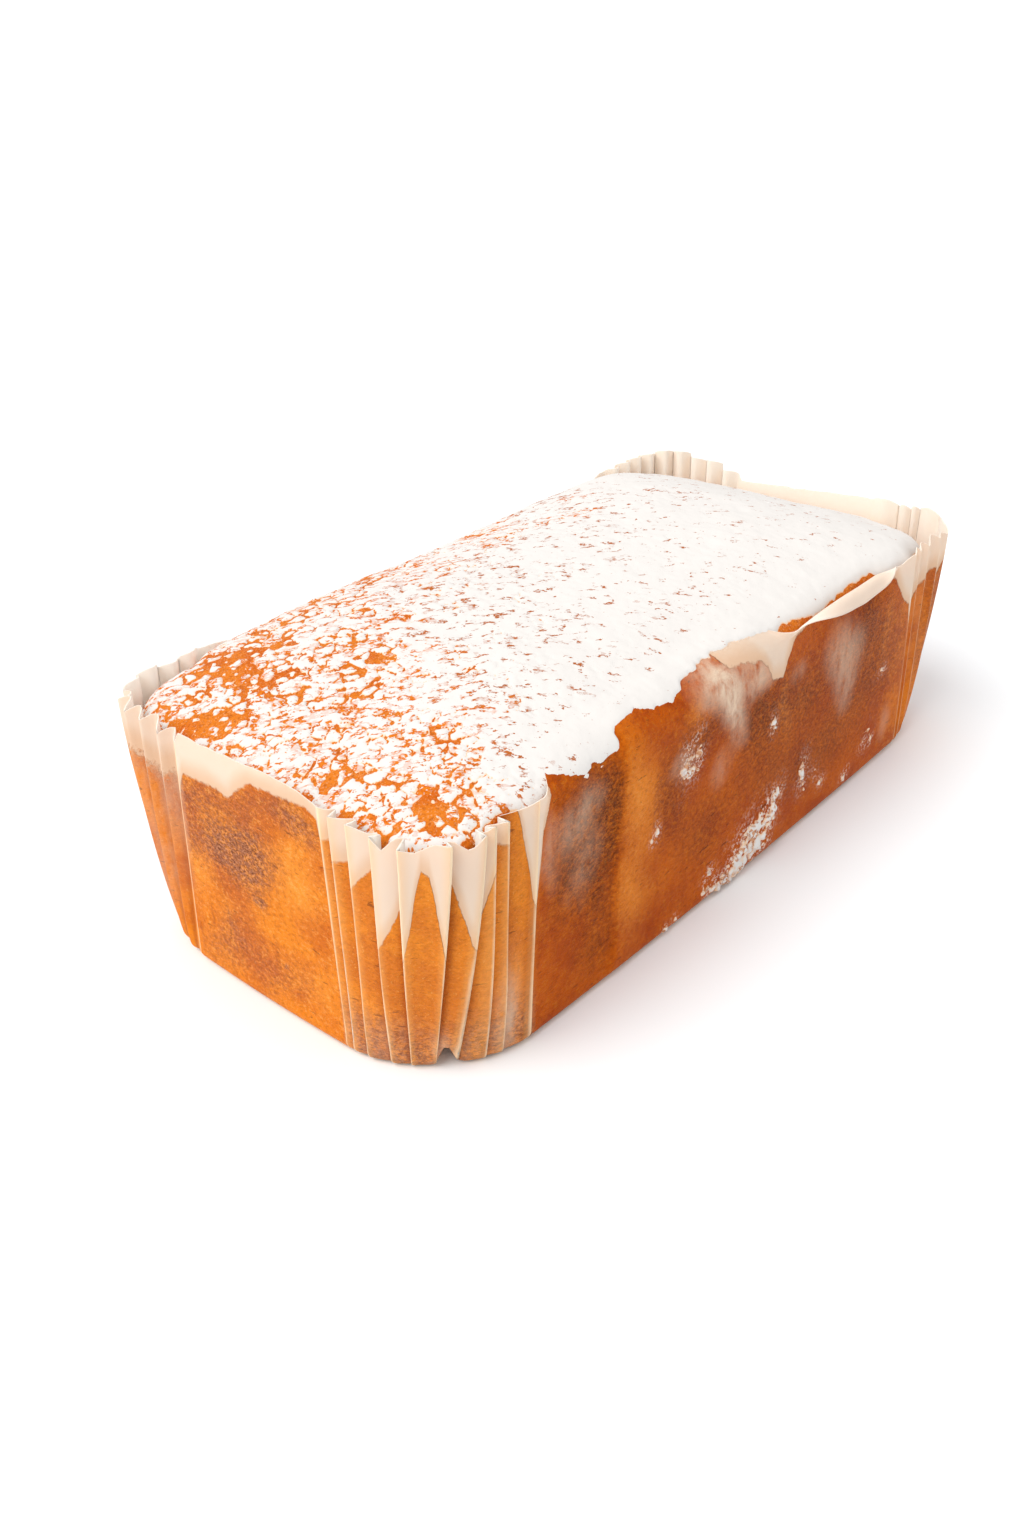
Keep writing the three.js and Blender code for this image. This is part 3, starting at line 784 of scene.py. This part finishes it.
def spill_field(x, z, spread):
    """About 1 in the middle of a spill, 0 well outside; `spread` widens all of them."""
    total = 0
    for place, height, wide, tall, slant in SPILLS:
        dz = z - height
        dx = x - place - slant * dz
        total = total + np.exp(-((dx / (wide * spread)) ** 2) - (dz / (tall * spread)) ** 2)
    return total


def dust_field(x, z):
    broad = np.clip(1.4 * spill_field(x, z, 2.0), 0, 1)
    return broad * smooth(rough(x, z, 0, 5, 601, 3), -0.5, 0.3)


def near_wall_y(x, z):
    plan = plan_at(z)
    y = -(plan["halves"][1] + swell(plan, 0, x))
    return y - wall_push(x, y, z)


def spilled_sugar(material):
    xs, zs = np.arange(-42, 72, SPILL_STEP), np.arange(1.2, 54, SPILL_STEP)
    x, z = np.meshgrid(xs, zs, indexing="ij")
    ragged = 0.4 * noise(x, z, 0, 3.0, 611) + 0.6 * noise(x, z, 0, 1.6, 612)
    ragged = ragged + 0.6 * noise(x, z, 0, 0.9, 613)
    field = np.clip(spill_field(x, z, 1.35), 0, 1.4)
    fill = field - 0.85 + 1.15 * ragged * smooth(field, 0.1, 0.35)
    thick = np.clip(np.where(fill > 0, 0.7 * (1 - np.exp(-fill / 0.5)), fill), SPILL_SUNK, None)
    y = near_wall_y(x, z) - thick
    cell = any_corner(thick > SPILL_SUNK + 0.01)
    fields = {"thick": 0.3 * thick, "cover": np.full(x.shape, -0.1)}
    return sheet_object("spilled_sugar", x, y, z, cell, fields, material)


# ---------------- loaf

LOAF_FLAT_STEP = 1.6
LOAF_CORNER_STEPS = 44
LOAF_WALL_LEVELS = (0, 0.3, 1, 2, 3, 12, 24, 38, 49)
SHOULDER_RINGS = (0, 0.15, 0.5, 1.0, 1.6, 2.3, 3.0, 3.8, 4.6, 5.4, 6.2, 7.0)
CROWN_RINGS = 46


def loaf_stations():
    """Side, whether on its corner, and share along it, of each point of the loaf's outline."""
    rows = []
    for s in range(4):
        steps = flat_steps(s, LOAF_FLAT_STEP)
        rows += [(s, 0, i / steps) for i in range(1, steps)]
        rows += [(s, 1, share) for share in np.linspace(0, 1, LOAF_CORNER_STEPS)]
    return np.array(rows).T


def loaf_outline(stations, z, inset):
    """The loaf's outline at height z, clear of the pleats."""
    side, on_corner, share = stations
    plan = plan_at(np.full(len(side), z))
    clear = np.clip((np.minimum(share, 1 - share) + 0.06) / 0.12, 0, 1) * plan["depth"]
    clear = clear + (side == NEAR_LONG) * EAST_GAP * np.sin(math.pi * share)
    return outline(plan, side, on_corner, share, inset + LOAF_GAP + on_corner * clear)


def loaf(material):
    rings = []
    stations = loaf_stations()
    side, on_corner, share = stations
    near_corner = (side == SHARP_CORNER) & (on_corner > 0)
    for level in LOAF_WALL_LEVELS:
        px, py = loaf_outline(stations, level + LOAF_GAP, base_inset(level))
        notch = np.where(near_corner, notch_at(share, level), 0)
        height = level + LOAF_GAP + NOTCH[2] * notch
        rings.append(np.stack([px * (1 - 0.03 * notch), py * (1 - 0.05 * notch), height], axis=1))
    for depth in SHOULDER_RINGS:
        px, py = loaf_outline(stations, HEIGHT, depth)
        py = py + lean_at(px, py)
        rings.append(np.stack([px, py, top_height(px, py)], axis=1))
    ox, oy = px, py
    for i in range(1, CROWN_RINGS):
        px, py = (outline * (1 - i / CROWN_RINGS) for outline in (ox, oy))
        rings.append(np.stack([px, py, top_height(px, py)], axis=1))
    number = np.arange(len(ox) * len(rings)).reshape(len(rings), len(ox))
    quads = np.concatenate([ring_quads(number[i - 1], number[i]) for i in range(1, len(rings))])
    middles = [[0, 0, float(top_height(np.zeros(1), np.zeros(1))[0])], [0, 0, LOAF_GAP]]
    points = np.concatenate([*rings, middles])
    top, base = fan(number[-1], len(points) - 2, False), fan(number[0], len(points) - 1, True)
    return new_object("cake", points, quads, np.concatenate([top, base]), {}, material)


# ---------------- icing sugar

SUGAR_STEP = 0.48
SUNK = -0.5  # how deep in the crust the sheet is where there is no sugar
OVER_TUCK = 0.62  # how much higher it lies on the tucked rim
FLAKE = 3.7  # usual size of a flake
# How far in from the near long wall the sugar's edge is, by x.
SUGAR_EDGE = (
    (-90, 0.5), (-86, 0.6), (-82, 0.3), (-78, 0.3), (-70, 1.0), (-60, 0.5), (-54, -0.3), (-51.5, -0.5),
    (-50.9, 2.6), (-45, 3.4), (-41, 4.0), (-38, 2.4), (-31, 1.5), (-27, 2.2), (-24, 4.4), (-18, 5.2),
    (-12, 6.0), (-9, 6.3), (6.6, 3.9), (14, 2.0), (18, 2.4), (24, 2.4), (28, 1.0), (36, 0.5), (39, 0.9),
    (47, 1.0), (52, 1.6), (61, 1.5), (64, 0.6), (75, 0.8), (84, 0.4),
)
# How full the sugar is, by x - 0.7 y: from flakes with crust between them to nearly closed.
SUGAR_COVER = (
    (-150, -0.05), (-100, -0.02), (-72, 0.07), (-48, 0.22), (-15, 0.45), (30, 0.6), (90, 0.65),
)
# (x, y, radius, strength)
BARE_PATCHES = (
    (-103, 22, 6, 0.4), (-86, 34, 7, 0.4), (-62, 38, 5, 0.25), (-47, 40, 5, 0.2), (-106, -36, 3.5, 0.4),
    (-100, -42, 3, 0.3), (-108, 6, 4, 0.2), (-20, 46, 13, 0.3), (15, 43, 15, 0.38), (30, 24, 11, 0.36),
    (5, 30, 8, 0.24), (48, 36, 12, 0.34), (62, 14, 8, 0.2), (66, -46, 2.5, 0.3), (-90, -44, 5, 0.3),
    (-97, -38, 4, 0.2),
)


def cells(x, y, size, seed):
    """Distances, in sizes, to the two nearest of scattered points, and a random number for the nearest."""
    px, py = x / size, y / size
    cx, cy = np.floor(px).astype(np.int64), np.floor(py).astype(np.int64)
    nearest = np.full(x.shape, 9.0)
    second = np.full(x.shape, 9.0)
    chance = np.zeros(x.shape)
    for i in (-1, 0, 1):
        for j in (-1, 0, 1):
            gx = cx + i + lattice(cx + i, cy + j, 0, seed)
            gy = cy + j + lattice(cx + i, cy + j, 1, seed)
            far = np.hypot(px - gx, py - gy)
            closer = far < nearest
            second = np.where(closer, nearest, np.minimum(second, far))
            chance = np.where(closer, lattice(cx + i, cy + j, 2, seed), chance)
            nearest = np.minimum(nearest, far)
    return nearest, second, chance


def flake_field(x, y):
    """Above 0 inside flakes; their ragged edges are at 0 where the cover is 0."""
    wx = x + 0.8 * noise(x, y, 0, 1.9, 501) + 0.4 * noise(x, y, 0, 0.85, 502)
    wy = y + 0.8 * noise(x, y, 0, 1.9, 503) + 0.4 * noise(x, y, 0, 0.85, 504)
    nearest, second, chance = cells(wx, wy, FLAKE, 505)
    gap = second - nearest
    presence = 0.62 * (np.minimum(chance, 0.75) - 0.3)
    return gap - 0.17 + presence + 0.13 * noise(x, y, 0, 1.1, 506)


def sugar_cover(x, y):
    """How full the sugar is: 0 where sparse, over 0.5 where it hides nearly all of the crust."""
    cover = keyed(SUGAR_COVER, x - 0.7 * y)
    cover = cover + 0.15 * rough(x, y, 0, 15, 511, 3) + 0.1 * noise(x, y, 0, 6, 515)
    for bare_x, bare_y, size, strength in BARE_PATCHES:
        away = ((x - bare_x) ** 2 + (y - bare_y) ** 2) / size**2
        cover = cover - strength * np.exp(-away)
    return cover + 0.3 * (1 - smooth(y, -47, -34)) * smooth(x, -84, -60)


def sugar_edge_depth(x, y):
    """How far inside its own edge the sugar is."""
    depth = rim_distance(x, y)
    near = smooth(-y, 30, 44)
    wander = 0.5 * noise(x, y, 0, 5, 521) + 0.5 * noise(x, y, 0, 2.2, 522)
    wander = wander + 0.35 * noise(x, y, 0, 1.0, 523)
    far_edge = 0.6 + 0.6 * smooth(x, 60, 95)
    edge = far_edge * (1 - near) + keyed(SUGAR_EDGE, x) * near
    at_corner = near * (1 - smooth(x, -84, -66))
    wander = wander * (0.3 + 0.7 * near * (1 - 0.7 * smooth(x, 18, 30)))
    wander = wander + 0.7 * at_corner * noise(x, y, 0, 2.8, 524)
    return depth - edge - wander


def sugar_thickness(x, y):
    fill = flake_field(x, y) + sugar_cover(x, y)
    body = 0.38 * (1 - np.exp(-np.maximum(fill, 0) / 0.22))
    body = body + (0.05 * noise(x, y, 0, 1.3, 531) + 0.07 * noise(x, y, 0, 3.5, 532)) * (body > 0.2)
    thick = np.where(fill > 0, body, 1.5 * fill)
    thick = np.minimum(thick, 0.5 * sugar_edge_depth(x, y))
    return np.clip(thick, SUNK, None)


def icing_sugar(material):
    xs = np.arange(-HALF_LENGTH + 1, HALF_LENGTH - 1, SUGAR_STEP)
    ys = np.arange(-HALF_WIDTH + 0.4, HALF_WIDTH - 1, SUGAR_STEP)
    x, y = np.meshgrid(xs, ys, indexing="ij")
    thick = sugar_thickness(x, y)
    on_tuck = tuck_at(x) * (1 - smooth(y, -HALF_WIDTH + 8, -HALF_WIDTH + 13))
    z = top_height(x, y) + thick + OVER_TUCK * on_tuck * smooth(thick, -0.12, 0.1)
    beyond = rim_distance(x, y) <= -0.4
    cell = ~any_corner(beyond) & any_corner(thick > SUNK * 0.98)
    fields = {"thick": thick, "cover": sugar_cover(x, y)}
    return sheet_object("sugar", x, y, z, cell, fields, material)


# ---------------- materials


def linear(red, green, blue):
    """A colour given as 0 to 255 in sRGB."""
    def one(c):
        c = c / 255
        return c / 12.92 if c <= 0.04045 else ((c + 0.055) / 1.055) ** 2.4
    return (one(red), one(green), one(blue), 1.0)


ORANGE = linear(230, 129, 24)
DEEP_ORANGE = linear(206, 103, 20)
DARK_ORANGE = linear(150, 66, 14)
BRIGHT_ORANGE = linear(246, 152, 54)
LIGHT_ORANGE = linear(250, 190, 110)
BROWN = linear(144, 88, 64)
PALE_BROWN = linear(222, 160, 120)
DARK_BROWN = linear(92, 46, 26)
BROWNED_AND_SHADED_TINT = (0.66, 0.44, 0.12, 1)  # what the near long side's colour is multiplied by: its deeper browning with painted shade
HAZE = linear(230, 203, 177)
WHITE_DUST = linear(236, 218, 204)
CREAM = linear(225, 200, 180)
PEACH = linear(216, 180, 150)
# The inner face's lighter cream: painted light standing in for light through the paper.
INSIDE_PAINTED_LIGHT = linear(246, 234, 222)
FOLD_EDGE_AND_HIGHLIGHT = linear(248, 216, 178)
FOLD_PAINTED_GLOW = linear(246, 182, 108)
CRUST_LIGHT = linear(216, 120, 32)
CRUST = linear(200, 96, 18)
CRUST_DARK = linear(150, 70, 22)
CRACK_PALE = linear(172, 96, 50)
SPILL_CRACK = linear(160, 92, 54)
SPILL_CRACK_LIGHT = linear(206, 154, 118)
ALONG_CRACKS = math.radians(-45)  # the cracks run mostly this way, from +X
SUGAR_THIN = linear(236, 196, 158)
SUGAR = linear(224, 220, 216)


class Shader:
    """A node material with one Principled BSDF, and short ways to add nodes to it."""

    def __init__(self, name):
        self.material = bpy.data.materials.new(name)
        self.material.use_nodes = True
        self.tree = self.material.node_tree
        self.tree.nodes.clear()
        self.output = self.node("OutputMaterial")
        self.surface = self.node("BsdfPrincipled")
        self.put(self.surface.outputs[0], self.output.inputs[0])
        self.place = self.node("TexCoord").outputs["Object"]

    def node(self, kind, inputs=None, **settings):
        node = self.tree.nodes.new("ShaderNode" + kind)
        for name, value in settings.items():
            setattr(node, name, value)
        for socket, value in (inputs or {}).items():
            self.put(value, node.inputs[socket])
        return node

    def put(self, value, socket):
        if isinstance(value, bpy.types.NodeSocket):
            self.tree.links.new(value, socket)
        else:
            socket.default_value = value

    def number(self, key):
        return self.node("Attribute", attribute_name=key).outputs["Fac"]

    def height_mm(self):
        return self.times(self.node("SeparateXYZ", {0: self.place}).outputs[2], 1 / MM)

    def math(self, operation, first, second=0.0, clamp=False):
        return self.node("Math", {0: first, 1: second}, operation=operation, use_clamp=clamp).outputs[0]

    def times(self, first, second, clamp=False):
        return self.math("MULTIPLY", first, second, clamp)

    def plus(self, first, second):
        return self.math("ADD", first, second)

    def minus(self, first, second):
        return self.math("SUBTRACT", first, second)

    def noise(self, per_mm, detail=3.0, roughness=0.5, stretch=(1, 1, 1), shift=0.0, turn=0.0):
        """Noise from 0 to 1, `per_mm` lumps a millimetre, with more of them along a stretched axis."""
        scale = [per_mm / MM * s for s in stretch]
        mapping = self.node("Mapping", {"Vector": self.place, "Location": [shift] * 3})
        if turn:
            mapping.vector_type = "TEXTURE"  # turned first, then stretched
            mapping.inputs["Rotation"].default_value[2] = turn
            scale = [1 / s for s in scale]
        mapping.inputs["Scale"].default_value = scale
        inputs = {"Vector": mapping.outputs[0], "Scale": 1.0, "Detail": detail, "Roughness": roughness}
        return self.node("TexNoise", inputs).outputs["Fac"]

    def step(self, value, low, high):
        """0 below low, 1 above high, smooth between."""
        inputs = {"Value": value, "From Min": low, "From Max": high}
        return self.node("MapRange", inputs, interpolation_type="SMOOTHSTEP").outputs[0]

    def fall(self, value, low, high):
        """1 below low, 0 above high, smooth between."""
        return self.minus(1.0, self.step(value, low, high))

    def mix(self, share, first, second, blend="MIX"):
        inputs = {"Factor": share, 6: first, 7: second}
        return self.node("Mix", inputs, data_type="RGBA", blend_type=blend).outputs[2]

    def layers(self, colour, *layers):
        """Colours laid over another in turn: (where, how strongly, colour)."""
        for place, strength, over in layers:
            colour = self.mix(self.times(place, strength), colour, over)
        return colour

    def bump(self, height, distance_mm, strength):
        node = self.node("Bump", {"Strength": strength, "Distance": distance_mm * MM, "Height": height})
        self.put(node.outputs[0], self.surface.inputs["Normal"])

    def finish(self, colour, roughness, specular=0.05):
        inputs = {"Specular IOR Level": specular, "Base Color": colour, "Roughness": roughness}
        for socket, value in inputs.items():
            self.put(value, self.surface.inputs[socket])
        return self.material


def soaked_colour(s, grain, crumb, streak):
    """The paper where it lies on the cake: orange, browned in patches, grainy, hazy and dusty, with painted
    glints, painted shade in the pleats' valleys, and painted shade with browning on the near long side.
    """
    brown, bright, flat = s.number("brown"), s.number("bright"), s.number("flat")
    grainy = s.times(flat, s.plus(0.34, s.times(brown, 0.25)))
    faint = s.times(grainy, s.minus(0.85, s.times(brown, 0.3)))
    glints = s.noise(1.5, 3, 0.7, shift=33)
    marks = s.noise(0.42, 3, 0.6, stretch=(0.45, 0.45, 2.2), shift=51)
    soaked = s.layers(
        s.mix(s.step(s.noise(0.07, 5, 0.6), 0.4, 0.62), ORANGE, DEEP_ORANGE),
        (s.step(streak, 0.5, 0.75), 0.22, DARK_ORANGE),
        (bright, 0.85, BRIGHT_ORANGE),
        (s.step(crumb, 0.52, 0.62), grainy, DARK_ORANGE),
        (s.fall(crumb, 0.38, 0.46), faint, LIGHT_ORANGE),
        (s.times(brown, s.plus(s.step(crumb, 0.42, 0.56), 0.38), clamp=True), 0.85, BROWN),
        (s.times(s.step(grain, 0.52, 0.6), s.plus(brown, 0.15)), 0.62, DARK_BROWN),
        (s.times(s.fall(grain, 0.4, 0.48), brown), 0.4, PALE_BROWN),
        (s.step(glints, 0.6, 0.7), 0.35, LIGHT_ORANGE),
        (s.step(marks, 0.665, 0.7), 0.6, DARK_BROWN),
        # Painted shade: darker orange in the pleats' valleys.
        (s.step(s.number("valley"), 0.45, 1.0), 0.5, DARK_ORANGE),
    )
    # Browning with painted shade: the near long side is multiplied darker, less where it is bright.
    browned_and_shaded = s.times(s.number("browned_and_shaded"), s.minus(1.0, s.times(bright, 0.6)))
    soaked = s.mix(browned_and_shaded, soaked, s.mix(1.0, soaked, BROWNED_AND_SHADED_TINT, "MULTIPLY"))
    hazy = s.step(s.noise(0.25, 5, 0.65, stretch=(1, 1, 0.45)), 0.22, 0.58)
    specks = s.step(s.noise(1.2, 4, 0.75, shift=21), 0.5, 0.6)
    return s.layers(soaked, (s.number("haze"), hazy, HAZE), (s.number("dust"), specks, WHITE_DUST))


def paper_material():
    s = Shader("greaseproof_paper")
    above, inside = s.number("above_soak"), s.number("inside")
    grain = s.noise(1.25, 4, 0.7, stretch=(0.9, 0.9, 1.5))
    crumb = s.noise(0.66, 5, 0.76, stretch=(0.95, 0.95, 1.3), shift=7)
    streak = s.noise(0.35, 4, 0.6, stretch=(1, 1, 0.16))
    # The inner face is mixed towards a lighter cream by the inside attribute: painted light through the
    # paper.
    cream = s.mix(inside, s.mix(s.step(above, 0.5, 6.0), PEACH, CREAM), INSIDE_PAINTED_LIGHT)
    ragged = s.times(s.minus(s.noise(0.9, 4, 0.6), 0.5), 2.0)
    dry = s.step(s.plus(above, ragged), -0.4, 0.4)
    height = s.height_mm()
    # A pale line runs along each fold, stronger and weaker by turns: the paper's unsoaked edge with a
    # painted highlight on it, and a softer painted glow beside it.
    from_fold = s.plus(s.number("fold_mm"), s.times(streak, 0.5))
    line_strength = s.plus(s.times(s.step(s.noise(0.09, 3, 0.6, shift=40), 0.28, 0.6), 0.45), 0.45)
    colour = s.layers(
        s.mix(dry, soaked_colour(s, grain, crumb, streak), cream),
        # Painted light at the base: a lit light-orange line up to about 1.5 mm, and below 0.6 mm a painted
        # dark contact shadow.
        (s.fall(height, 0.5, 1.5), 0.55, LIGHT_ORANGE),
        (s.fall(height, 0.25, 0.6), 0.85, DARK_BROWN),
        (s.fall(from_fold, 0.4, 2.6), 0.3, FOLD_PAINTED_GLOW),
        (s.fall(from_fold, 0.25, 0.85), line_strength, FOLD_EDGE_AND_HIGHLIGHT),
    )
    glow = s.plus(s.times(s.step(above, 0.0, 4.0), 0.5), s.times(inside, 0.4))
    s.put(glow, s.surface.inputs["Subsurface Weight"])
    s.surface.inputs["Subsurface Radius"].default_value = (1.0, 0.93, 0.88)
    s.surface.inputs["Subsurface Scale"].default_value = 0.8 * MM
    relief = s.plus(s.times(crumb, 0.7), s.times(grain, 0.3))
    s.bump(s.times(s.minus(1.0, dry), relief), 0.8, 0.9)
    return s.finish(colour, s.plus(0.42, s.times(dry, 0.25)))


def crust_material():
    s = Shader("baked_crust")
    fine = s.noise(1.3, 4, 0.6)
    colour = s.layers(
        s.mix(s.step(s.noise(0.12, 3), 0.35, 0.65), CRUST_LIGHT, CRUST),
        (s.step(fine, 0.46, 0.7), 0.6, CRUST_DARK),
        (s.step(s.noise(2.0, 3, 0.7, shift=3), 0.54, 0.64), 0.3, SUGAR_THIN),
    )
    s.bump(fine, 0.35, 0.8)
    return s.finish(colour, 0.6)


def sugar_material(name, sparse_crack, sparse_crack_light):
    s = Shader(name)
    cover = s.number("cover")
    fine = s.noise(1.6, 4, 0.65)
    thin = s.plus(s.number("thick"), s.times(s.minus(fine, 0.5), 0.25))
    colour = s.mix(s.step(thin, -0.02, 0.14), SUGAR_THIN, SUGAR)
    # Cracks: winding lines where one noise passes its middle value, kept only where another is high.
    winding = s.noise(0.26, 4, 0.62, stretch=(0.75, 1.25, 1), shift=0.011, turn=ALONG_CRACKS)
    line = s.fall(s.math("ABSOLUTE", s.minus(winding, 0.5)), 0.025, 0.06)
    broken = s.noise(0.3, 4, 0.72, stretch=(0.75, 1.25, 1), shift=0.037, turn=ALONG_CRACKS)
    crack = s.times(line, s.step(s.minus(broken, s.times(cover, 0.21)), 0.455, 0.49))
    crack = s.times(crack, s.plus(0.3, s.step(s.noise(0.5, 2, 0.5, shift=29), 0.4, 0.6)), clamp=True)
    tint = s.step(s.noise(1.1, 3, 0.6, shift=17), 0.35, 0.6)
    crack_colour = s.mix(tint, sparse_crack, sparse_crack_light)
    crack_colour = s.mix(s.step(cover, 0.1, 0.35), crack_colour, CRACK_PALE)
    s.bump(s.minus(s.times(fine, 0.5), s.times(crack, 0.6)), 0.22, 0.5)
    return s.finish(s.mix(crack, colour, crack_colour), 0.85)


def floor_material():
    s = Shader("floor_white")
    return s.finish(s.mix(s.noise(0.01, 2), (0.90, 0.93, 0.95, 1), (0.91, 0.94, 0.96, 1)), 0.9)


# ---------------- stage

SKY_COLOUR, SKY_STRENGTH = (0.985, 0.99, 1, 1), 0.86
SUN_COLOUR, SUN_STRENGTH, SUN_SPREAD = (1, 0.98, 0.95), 2.1, math.radians(45)
TOWARDS_SUN = Vector((-0.62, 0.16, 0.80))
# Where the camera stands, seen from its target; distance and target in mm.
AZIMUTH, ELEVATION, ROLL = (math.radians(a) for a in (-48.736, 31.284, -1.133))
DISTANCE = 355.04
TARGET = Vector((-35.345, -7.384, 30.591))
LENS = 33.38
SENSOR = 36


def make_floor():
    half, low = 30.0, -0.00005  # metres; just below the paper
    corners = [(-half, -half, low), (half, -half, low), (half, half, low), (-half, half, low)]
    mesh = bpy.data.meshes.new("floor")
    mesh.from_pydata(corners, [], [(0, 1, 2, 3)])
    mesh.materials.append(floor_material())
    placed("floor", mesh)


def make_light():
    world = bpy.data.worlds.new("studio")
    world.use_nodes = True
    background = world.node_tree.nodes["Background"]
    background.inputs[0].default_value = SKY_COLOUR
    background.inputs[1].default_value = SKY_STRENGTH
    bpy.context.scene.world = world
    sun = bpy.data.lights.new("key", "SUN")
    sun.energy = SUN_STRENGTH
    sun.angle = SUN_SPREAD
    sun.color = SUN_COLOUR
    lamp = placed("key", sun)
    lamp.rotation_euler = TOWARDS_SUN.to_track_quat("Z", "Y").to_euler()
    bpy.context.scene.view_settings.view_transform = "Standard"


def make_camera():
    a, e, r = AZIMUTH, ELEVATION, ROLL
    back = Vector((math.sin(a) * math.cos(e), -math.cos(a) * math.cos(e), math.sin(e)))
    right = Vector((0, 0, 1)).cross(back).normalized()
    up = back.cross(right)
    turned_right = right * math.cos(r) + up * math.sin(r)
    turned_up = up * math.cos(r) - right * math.sin(r)
    turn = Matrix((turned_right, turned_up, back)).transposed().to_4x4()
    data = bpy.data.cameras.new("camera")
    data.lens = LENS
    data.sensor_width = data.sensor_height = SENSOR
    data.sensor_fit = "VERTICAL"
    data.clip_start = 0.01
    camera = placed("camera", data)
    camera.matrix_world = Matrix.Translation((TARGET + back * DISTANCE) * MM) @ turn
    bpy.context.scene.camera = camera


def attach(piece, node):
    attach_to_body(piece, "root")
    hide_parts(node)


attach(paper_liner(paper_material()), "paper_liner")
attach(loaf(crust_material()), "loaf")
sugar_on_top = sugar_material("icing_sugar", CRUST, CRUST_LIGHT)
sugar_on_wall = sugar_material("spilled_icing_sugar", SPILL_CRACK, SPILL_CRACK_LIGHT)
attach(icing_sugar(sugar_on_top), "icing_sugar")
attach(spilled_sugar(sugar_on_wall), "icing_sugar")
make_floor()
make_light()
make_camera()
